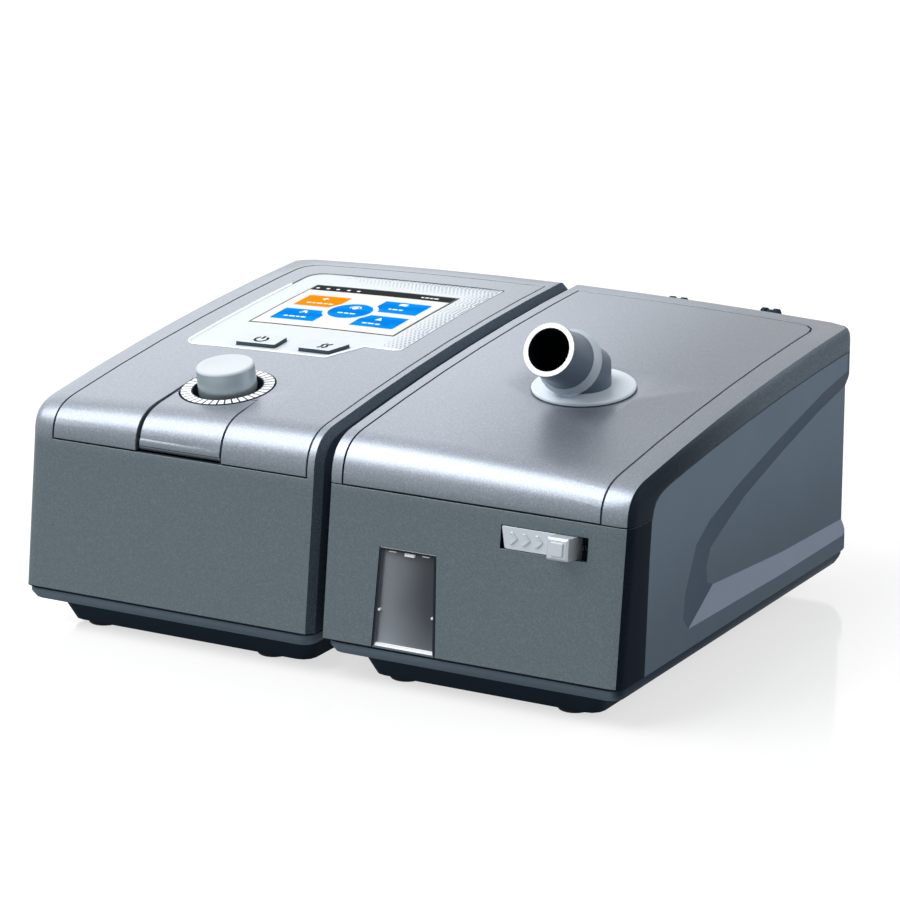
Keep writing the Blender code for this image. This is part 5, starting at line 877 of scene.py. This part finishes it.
class AIRWAY_OT_bezel(bpy.types.Operator):
    """Build the display's bezel, with its bead glowing as a painted highlight and its fading dimples"""
    bl_idname = "airway.bezel"
    bl_label = "Build the bezel"

    def execute(self, context):
        sizes = context.scene.airway_sizes
        dressed("display_bezel", "white")
        surface = surface_of("display_bezel")
        low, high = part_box("display_bezel")
        pitch = sizes.dimple_pitch
        margin = 0.0012
        width, depth = 0.088, high.y - low.y - 0.022
        columns = round(width / pitch)
        rows = round(depth / pitch)
        mesh = dimple_tree().grown("dimples", "dimple", {
            "Width": width, "Depth": depth, "Columns": columns, "Rows": rows, "Dash": pitch * 0.42,
            "Side Reach": 0.0125, "Rear Reach": 0.0150, "Rear Start": 0.060, "Thickness": 0.00006})
        middle = Vector((high.x - margin - width / 2, high.y - margin - depth / 2, 0))
        mesh.transform(Matrix.Translation(middle))
        ride(draped_mesh("bezel_dimples", mesh, surface), "display_bezel")
        around = surface_of("top_cover", "display_bezel")
        out = 0.0004
        step_left, step_right, step_y = -0.0455, -0.0363, -0.00865
        corner = 0.0065
        path = [(low.x - out, high.y - 0.020), (low.x - out, low.y + corner * 2)]
        path += arc((low.x + corner, low.y + corner), corner + out, 180, 270, 8)
        path += [(step_left - 0.010, low.y - out), (step_left, low.y - out), (step_right, step_y - out),
                 (high.x - 0.003, step_y - out), (high.x - 0.0008, step_y + 0.0004)]
        fine = [Vector(path[0])]
        for point in path[1:]:
            parts = max(1, round((Vector(point) - fine[-1]).length / 0.002))
            start = fine[-1]
            fine += [start.lerp(Vector(point), part / parts) for part in range(1, parts + 1)]
        bead = []
        for point in fine:
            near = [around.ray_cast(Vector((point.x + across, point.y + along, 1)), Vector((0, 0, -1)))[0]
                    for across in (-0.0008, 0, 0.0008) for along in (-0.0008, 0, 0.0008)]
            bead.append(Vector((point.x, point.y, max(place.z for place in near if place) - sizes.lip / 4)))
        # The bead glows white, as a painted highlight along the bezel's edge
        ride(tube("bezel_lip", bead, sizes.lip, "rim"), "display_bezel")
        return {"FINISHED"}


def tile_loop(centre, bite, inner, outer, radius=0.0012):
    """A tile's points: its inner corner is bitten by a circle, and its outer corner is rounded."""
    side = 1 if outer[0] > centre[0] else -1
    up = 1 if outer[1] > centre[1] else -1
    on_level = centre[0] + side * math.sqrt(bite ** 2 - (inner[1] - centre[1]) ** 2)
    on_upright = centre[1] + up * math.sqrt(bite ** 2 - (inner[0] - centre[0]) ** 2)
    start = math.degrees(math.atan2(inner[1] - centre[1], on_level - centre[0]))
    end = math.degrees(math.atan2(on_upright - centre[1], inner[0] - centre[0]))
    points = arc(centre, bite, start, start + (end - start + 180) % 360 - 180, 8)
    points.append((inner[0], outer[1]))
    corner = (outer[0] - side * radius, outer[1] - up * radius)
    toward = 90 * up
    away = 0 if side > 0 else 180 * up
    points += arc(corner, radius, toward, away, 4)
    points.append((outer[0], inner[1]))
    return points


def dashes(left, front, lengths, height, gap):
    """A row of short bars, as a generic mark in place of a word."""
    loops = []
    for length in lengths:
        loops.append(box_loop(left, front, left + length, front + height))
        left += length + gap
    return loops


class AIRWAY_OT_display(bpy.types.Operator):
    """Lay the lit picture of the screen, with icons and no words"""
    bl_idname = "airway.display"
    bl_label = "Build the display"

    def execute(self, context):
        surface = surface_of("screen_window")
        low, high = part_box("screen_window")
        inset = 0.0008
        left, right, front, rear = low.x + inset, high.x - inset, low.y + inset, high.y - inset
        bar = 0.0580
        centre = (-0.0685, 0.0330)

        def lay(name, loops, level, *finishes, pick=None):
            lift = 0.00004 * level
            made = plates(name, loops, surface, lift - 0.00003, lift, *finishes, pick=pick)
            return ride(made, "screen_window")

        lay("screen_back", [box_loop(left, front, right, bar)], 1, "backlight")
        lay("screen_status_bar", [box_loop(left, bar, right, rear)], 1, "status")
        bite = 0.0126
        tiles = (((-0.0770, 0.0297), (-0.0995, 0.0148)), ((-0.0605, 0.0356), (-0.0370, 0.0512)),
                 ((-0.0590, 0.0306), (-0.0370, 0.0154)))
        for index, corners in enumerate(tiles):
            loop = tile_loop(centre, bite, *corners)
            middle = (min(y for x, y in loop) + max(y for x, y in loop)) / 2
            lay(f"screen_tile_{index + 1}", [loop], 2, "blue", "blue_low",
                pick=lambda face: 1 if abs(face.calc_center_median().y - middle) < 0.003 else 0)
        main_tile = tile_loop(centre, bite, (-0.0778, 0.0350), (-0.0995, 0.0502))
        lay("screen_tile_main", [main_tile], 2, "orange")
        lay("screen_circle", [arc(centre, 0.0102, 0, 350, 35)], 2, "blue", "blue_low",
            pick=lambda face: 1 if abs(face.calc_center_median().y - 0.0320) < 0.003 else 0)
        line = 0.0009
        icons = [
            box_loop(-0.0905, 0.0456, -0.0873, 0.0456 + line),
            box_loop(-0.08935, 0.0444, -0.08845, 0.0475),
            arc((-0.0880, 0.0268), 0.0011, 0, 330, 11),
            stroke(arc((-0.0880, 0.0243), 0.0017, 10, 170, 8), line),
            arc((-0.0684, 0.0372), 0.0016, 0, 330, 11),
            stroke(arc((-0.0684, 0.0372), 0.0026, -10, 190, 12), 0.0006),
            box_loop(-0.0518, 0.0466, -0.0478, 0.0492),
            [(-0.0512, 0.0245), (-0.0478, 0.0245), (-0.0495, 0.0280)]]
        rows = (
            (-0.0950, 0.0388, (0.0024, 0.0014, 0.0030, 0.0018, 0.0022)),
            (-0.0945, 0.0186, (0.0020, 0.0030, 0.0016, 0.0024)), (-0.0730, 0.0290, (0.0026, 0.0022, 0.0026)),
            (-0.0535, 0.0402, (0.0014, 0.0024, 0.0020)), (-0.0545, 0.0190, (0.0022, 0.0030, 0.0022)))
        words = [bar for x, y, lengths in rows for bar in dashes(x, y, lengths, 0.0012, 0.0007)]
        lay("screen_icons", icons, 3, "icon")
        lay("screen_labels", words, 3, "icon")
        status = [box_loop(x, 0.0604, x + 0.0016, 0.0618)
                  for x in (-0.1030, -0.0976, -0.0924, -0.0868, -0.0816)]
        status += dashes(-0.0486, 0.0608, (0.0014, 0.0020, 0.0014, 0.0022), 0.0012, 0.0006)
        lay("screen_status_marks", status, 3, "icon")
        return {"FINISHED"}


class AIRWAY_OT_keys(bpy.types.Operator):
    """Build the two keys, with a power symbol and a double wave"""
    bl_idname = "airway.keys"
    bl_label = "Build the keys"

    def execute(self, context):
        width = context.scene.airway_sizes.symbol
        line = width * 0.16
        for node in ("power_button", "mode_button"):
            # The keys' sides take the dark copy, as painted shade
            dressed(node, "key", "key_side", pick=lambda face: 1 if face.normal.z < 0.7 else 0)
        x, y = middle_of("power_button").xy
        ring = stroke(arc((x, y), width * 0.40, 125, 415, 20), line)
        bar = box_loop(x - line / 2, y + width * 0.06, x + line / 2, y + width * 0.50)
        made = plates("power_symbol", [ring, bar], surface_of("power_button"), 0.00001, 0.00006, "ink")
        ride(made, "power_button")
        x, y = middle_of("mode_button").xy
        waves = []
        for shift in (-0.16, 0.20):
            points = [(x + width * (shift + share * 0.42 - 0.16) * 0.9 + width * 0.10 * math.sin(share * 6.5),
                       y + width * (share - 0.5) * 0.72) for share in [step / 12 for step in range(13)]]
            waves.append(stroke(points, line))
        made = plates("wave_symbol", waves, surface_of("mode_button"), 0.00001, 0.00006, "ink")
        ride(made, "mode_button")
        return {"FINISHED"}


class AIRWAY_OT_dial(bpy.types.Operator):
    """Turn the knob and set the marks round it"""
    bl_idname = "airway.dial"
    bl_label = "Build the dial"

    def execute(self, context):
        sizes = context.scene.airway_sizes
        place = joint_frame("knob_turn")
        inverse = place.inverted()
        knob = [inverse @ vertex.co for vertex in NODES["selector_knob"].data.vertices]
        low, high = min(point.z for point in knob), max(point.z for point in knob)
        radius = max(point.xy.length for point in knob)
        edge = sizes.knob_edge
        profile = [(0, low), (radius - 0.0008, low), (radius - 0.0002, low + 0.0006), (radius, high * 0.1)]
        profile.append((radius - 0.0002, high - edge))
        for step in range(1, 7):
            angle = math.radians(90 * step / 6)
            profile.append((radius - 0.0002 - edge * (1 - math.cos(angle)),
                            high - edge * (1 - math.sin(angle))))
        flat = radius - edge - 0.0014
        profile += [(flat, high), (flat - 0.0006, high - 0.00012), (0, high - 0.00020)]
        # The top face and its rounded edge take the paler copy, as painted light
        made = lathe("knob_cap", profile, place, "satin", "cap", steps=96,
                     pick=lambda face: 1 if face.calc_center_median().z > high - edge * 0.9 else 0)
        ride(made, "selector_knob")
        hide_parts("selector_knob")
        mesh = mark_ring_tree().grown("marks", "mark", {
            "Count": sizes.dial_marks, "Radius": 0.01755, "Length": 0.0043, "Fill": 0.76,
            "Thickness": 0.00012})
        mesh.transform(Matrix.Translation((place.translation.x, place.translation.y, 0)))
        # The ring's inner wall by the knob takes near black, as painted shade in the gap
        dressed("dial_ring", "ring", "bore",
                pick=lambda face: 1 if (inverse @ face.calc_center_median()).xy.length < 0.0148 else 0)
        ride(draped_mesh("dial_marks", mesh, surface_of("dial_ring")), "dial_ring")
        return {"FINISHED"}


class AIRWAY_OT_elbow(bpy.types.Operator):
    """Finish the outlet elbow: a glowing white rim as a painted highlight, dark bores as painted shade, a grey
    disc, and a body and collar painted darker as painted shade
    """
    bl_idname = "airway.elbow"
    bl_label = "Build the elbow"

    def execute(self, context):
        mouth = Vector((0.07448, -0.05072, 0.13111))
        along = Vector((0.01141, -0.89738, 0.44112)).normalized()
        tube_end, rim_end, tube_bore = -0.026, -0.0008, 0.0108
        neck, disc_top, port_bore = 0.0118, 0.0045, 0.0100
        collar_inside, collar_outside, collar_rear, collar_front = 0.0122, 0.0150, -0.0232, -0.0160
        upright = joint_frame("elbow_swivel")
        inverse = upright.inverted()
        # The disc keeps the light grey; the body and collar are painted darker as painted shade, the mouth face
        # glows as a painted highlight and the bores are painted shade
        names = ("mid_grey", "rim", "bore", "grey", "collar")

        def region(face):
            centre = face.calc_center_median()
            local = inverse @ centre
            back = (centre - mouth).dot(along)
            from_axis = (centre - mouth - back * along).length
            on_tube = tube_end < back
            if on_tube and from_axis < tube_bore and face.normal.dot(along) < 0.5:
                if (centre - mouth - back * along).dot(face.normal) < 0:
                    return 2
            if on_tube and back > rim_end and face.normal.dot(along) > 0.5:
                return 1
            if local.xy.length > neck and all((inverse @ vertex.co).z < disc_top for vertex in face.verts):
                return 3
            if collar_inside < from_axis < collar_outside and collar_rear < back < collar_front:
                return 4
            if local.xy.length < port_bore and (centre - upright.translation).dot(face.normal) < 0:
                return 2
            return 0

        dressed("outlet_elbow", *names, pick=region, crease=38)
        return {"FINISHED"}


class AIRWAY_OT_window(bpy.types.Operator):
    """Finish the water window: a smoked pane painted lighter and darker as painted light and shade, with glowing
    edges and two small pegs as painted highlights
    """
    bl_idname = "airway.window"
    bl_label = "Build the water window"

    def execute(self, context):
        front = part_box("water_window")[0].y + 0.0005

        # Top faces take the glowing white, as painted highlights
        def part(face):
            if face.normal.y < -0.9 and face.calc_center_median().y < front:
                return 2
            return 1 if face.normal.x > 0.5 else 3 if face.normal.z > 0.5 else 0

        dressed("water_window", "smoke", "strip", "shell", "frost", pick=part)
        surface = surface_of("water_window")
        low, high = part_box("water_window")
        rim = 0.0010
        left, right, foot, head = low.x + rim, high.x - rim, low.z + rim, high.z - rim
        head_left, head_right = left + 0.00112, right - 0.0020
        pane = [(left, foot), (right, foot), (head_right, head), (head_left, head)]
        deep, proud = 0.0036, 0.0046

        def lay(name, loops, low, high, finish):
            ride(plates(name, loops, surface, low, high, finish, way="front"), "water_window")

        lay("window_pane", [pane], 0.0001, deep, "pane")
        middle = (left + right) / 2
        # Bright bars along the bottom and top edges, as painted highlights
        bars = [box_loop(left, foot, right, foot + 0.0008),
                box_loop(middle - 0.0022, head - 0.0014, middle + 0.0022, head)]
        bars += [box_loop(start, head - 0.0005, start + 0.0030, head)
                 for start in (left + 0.004, right - 0.0075)]
        lay("window_bright_edges", bars, deep, proud, "frost")
        # A dark strip along the right edge, as painted shade of a groove
        groove = [(right - 0.0006, foot), (right, foot), (head_right, head), (head_right - 0.0006, head)]
        lay("window_groove", [groove], deep, deep + 0.0002, "ink")
        # Two small pegs that glow, as painted glints
        level = foot + (head - foot) * 0.36
        pegs = [box_loop(x, level, x + 0.0009, level + 0.0009, 0.0003)
                for x in (left + 0.0006, right - 0.0018)]
        lay("window_pegs", pegs, deep, proud + 0.0002, "frost")
        return {"FINISHED"}


class AIRWAY_OT_latch(bpy.types.Operator):
    """Finish the lid's latch in satin silver, and the coil spring that it squeezes, painted near black as painted
    shade in its slot
    """
    bl_idname = "airway.latch"
    bl_label = "Build the latch"

    def execute(self, context):
        dressed("latch_slider", "latch", crease=20)
        coil = dressed("latch_spring", "coil", crease=60)
        low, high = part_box("latch_spring")
        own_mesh(coil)
        return {"FINISHED"}


class AIRWAY_OT_screws(bpy.types.Operator):
    """Set the screws in the two bases"""
    bl_idname = "airway.screws"
    bl_label = "Set the screws"

    def execute(self, context):
        profile = [(0, 0.0008), (0.0008, 0.0008), (0.0011, 0.0016), (0.0024, 0.0013), (0.0030, 0.0006),
                   (0.0030, -0.0002), (0, -0.0002)]
        head = lathe("screw_head", profile, Matrix.Identity(4), "steel", steps=12)
        tree = screw_tree()
        for unit in ("blower", "humidifier"):
            low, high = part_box(unit + "_base")
            middle = (low + high) / 2
            mesh = tree.grown(unit + "_screws", "steel", {
                "Width": 0.050, "Depth": 0.130, "Centre": (middle.x, middle.y, 0), "Head": head})
            surface = surface_of(unit + "_base")
            ride(draped_mesh(unit + "_base_screws", mesh, surface, "below"), unit + "_base")
        bpy.data.objects.remove(head)
        return {"FINISHED"}


class AIRWAY_OT_stage(bpy.types.Operator):
    """Set the floor, the soft lights and the camera at the photographed angle"""
    bl_idname = "airway.stage"
    bl_label = "Set the stage"

    def execute(self, context):
        floor_mesh = bmesh.new()
        bmesh.ops.create_grid(floor_mesh, x_segments=1, y_segments=1, size=6.0)
        floor = from_bmesh("floor", floor_mesh)
        made, tree, shader = material(
            "pale_floor", Base_Color=(0.34, 0.34, 0.34, 1), Roughness=0.10, Specular_IOR_Level=0.12,
            Emission_Color=(1, 1, 1, 1))
        tree.links.new(math_node(tree, "MULTIPLY", seen_rays(tree), 0.66), shader.inputs["Emission Strength"])
        floor.data.materials.append(made)
        world = bpy.data.worlds.new("studio")
        context.scene.world = world
        world.use_nodes = True
        tree = world.node_tree
        back = tree.nodes["Background"]
        plain_light = 0.24
        strength = math_node(tree, "MULTIPLY_ADD", seen_rays(tree), 1 - plain_light)
        strength.node.inputs[2].default_value = plain_light
        back.inputs["Color"].default_value = (1, 1, 1, 1)
        tree.links.new(strength, back.inputs["Strength"])
        lights = (
            ("nose_box", (-0.55, -0.52, 1.12), (1.1, 1.2), 20.0),
            ("rear_box", (-0.95, 0.95, 0.68), (0.9, 0.6), 1.8),
            ("right_fill", (1.30, 0.50, 0.75), (1.0, 1.0), 9.0),
        )
        for name, place, size, power in lights:
            data = bpy.data.lights.new(name, "AREA")
            data.shape = "RECTANGLE"
            data.size, data.size_y = size
            data.energy = power
            lamp = bpy.data.objects.new(name, data)
            lamp.location = place
            lamp.rotation_euler = (Vector((0, 0, 0.06)) - Vector(place)).to_track_quat("-Z", "Y").to_euler()
            context.scene.collection.objects.link(lamp)
        data = bpy.data.cameras.new("camera")
        data.lens = 144.73
        data.sensor_width = 36.0
        data.clip_start, data.clip_end = 0.05, 30.0
        camera = bpy.data.objects.new("camera", data)
        right = Vector((0.8721, 0.4894, 0.0))
        back_way = Vector((0.4716, -0.8404, 0.2669)).normalized()
        up = back_way.cross(right).normalized()
        right = up.cross(back_way)
        turn = Matrix((right, up, back_way)).transposed().to_4x4()
        camera.matrix_world = Matrix.Translation((0.73157, -1.30279, 0.48072)) @ turn
        context.scene.collection.objects.link(camera)
        context.scene.camera = camera
        context.scene.view_settings.view_transform = "Standard"
        return {"FINISHED"}


class AIRWAY_PT_panel(bpy.types.Panel):
    """The steps of the machine's finish"""
    bl_idname = "AIRWAY_PT_panel"
    bl_label = "Airway Machine"
    bl_space_type = "VIEW_3D"
    bl_region_type = "UI"
    bl_category = "Airway Machine"

    def draw(self, context):
        for settings in (context.scene.airway_colours, context.scene.airway_sizes):
            for name in settings.__annotations__:
                self.layout.prop(settings, name)
        for step in STEPS:
            self.layout.operator(step.bl_idname)


STEPS = (AIRWAY_OT_paint, AIRWAY_OT_shells, AIRWAY_OT_bezel, AIRWAY_OT_display, AIRWAY_OT_keys,
         AIRWAY_OT_dial, AIRWAY_OT_elbow, AIRWAY_OT_window, AIRWAY_OT_latch, AIRWAY_OT_screws,
         AIRWAY_OT_stage)
CLASSES = (AirwayColours, AirwaySizes) + STEPS + (AIRWAY_PT_panel,)


def register():
    for item in CLASSES:
        bpy.utils.register_class(item)
    bpy.types.Scene.airway_colours = PointerProperty(type=AirwayColours)
    bpy.types.Scene.airway_sizes = PointerProperty(type=AirwaySizes)


def unregister():
    del bpy.types.Scene.airway_colours
    del bpy.types.Scene.airway_sizes
    for item in reversed(CLASSES):
        bpy.utils.unregister_class(item)


def main():
    register()
    bpy.ops.airway.paint()
    bpy.ops.airway.shells()
    bpy.ops.airway.bezel()
    bpy.ops.airway.display()
    bpy.ops.airway.keys()
    bpy.ops.airway.dial()
    bpy.ops.airway.elbow()
    bpy.ops.airway.window()
    bpy.ops.airway.latch()
    bpy.ops.airway.screws()
    bpy.ops.airway.stage()


if __name__ == "__main__":
    main()
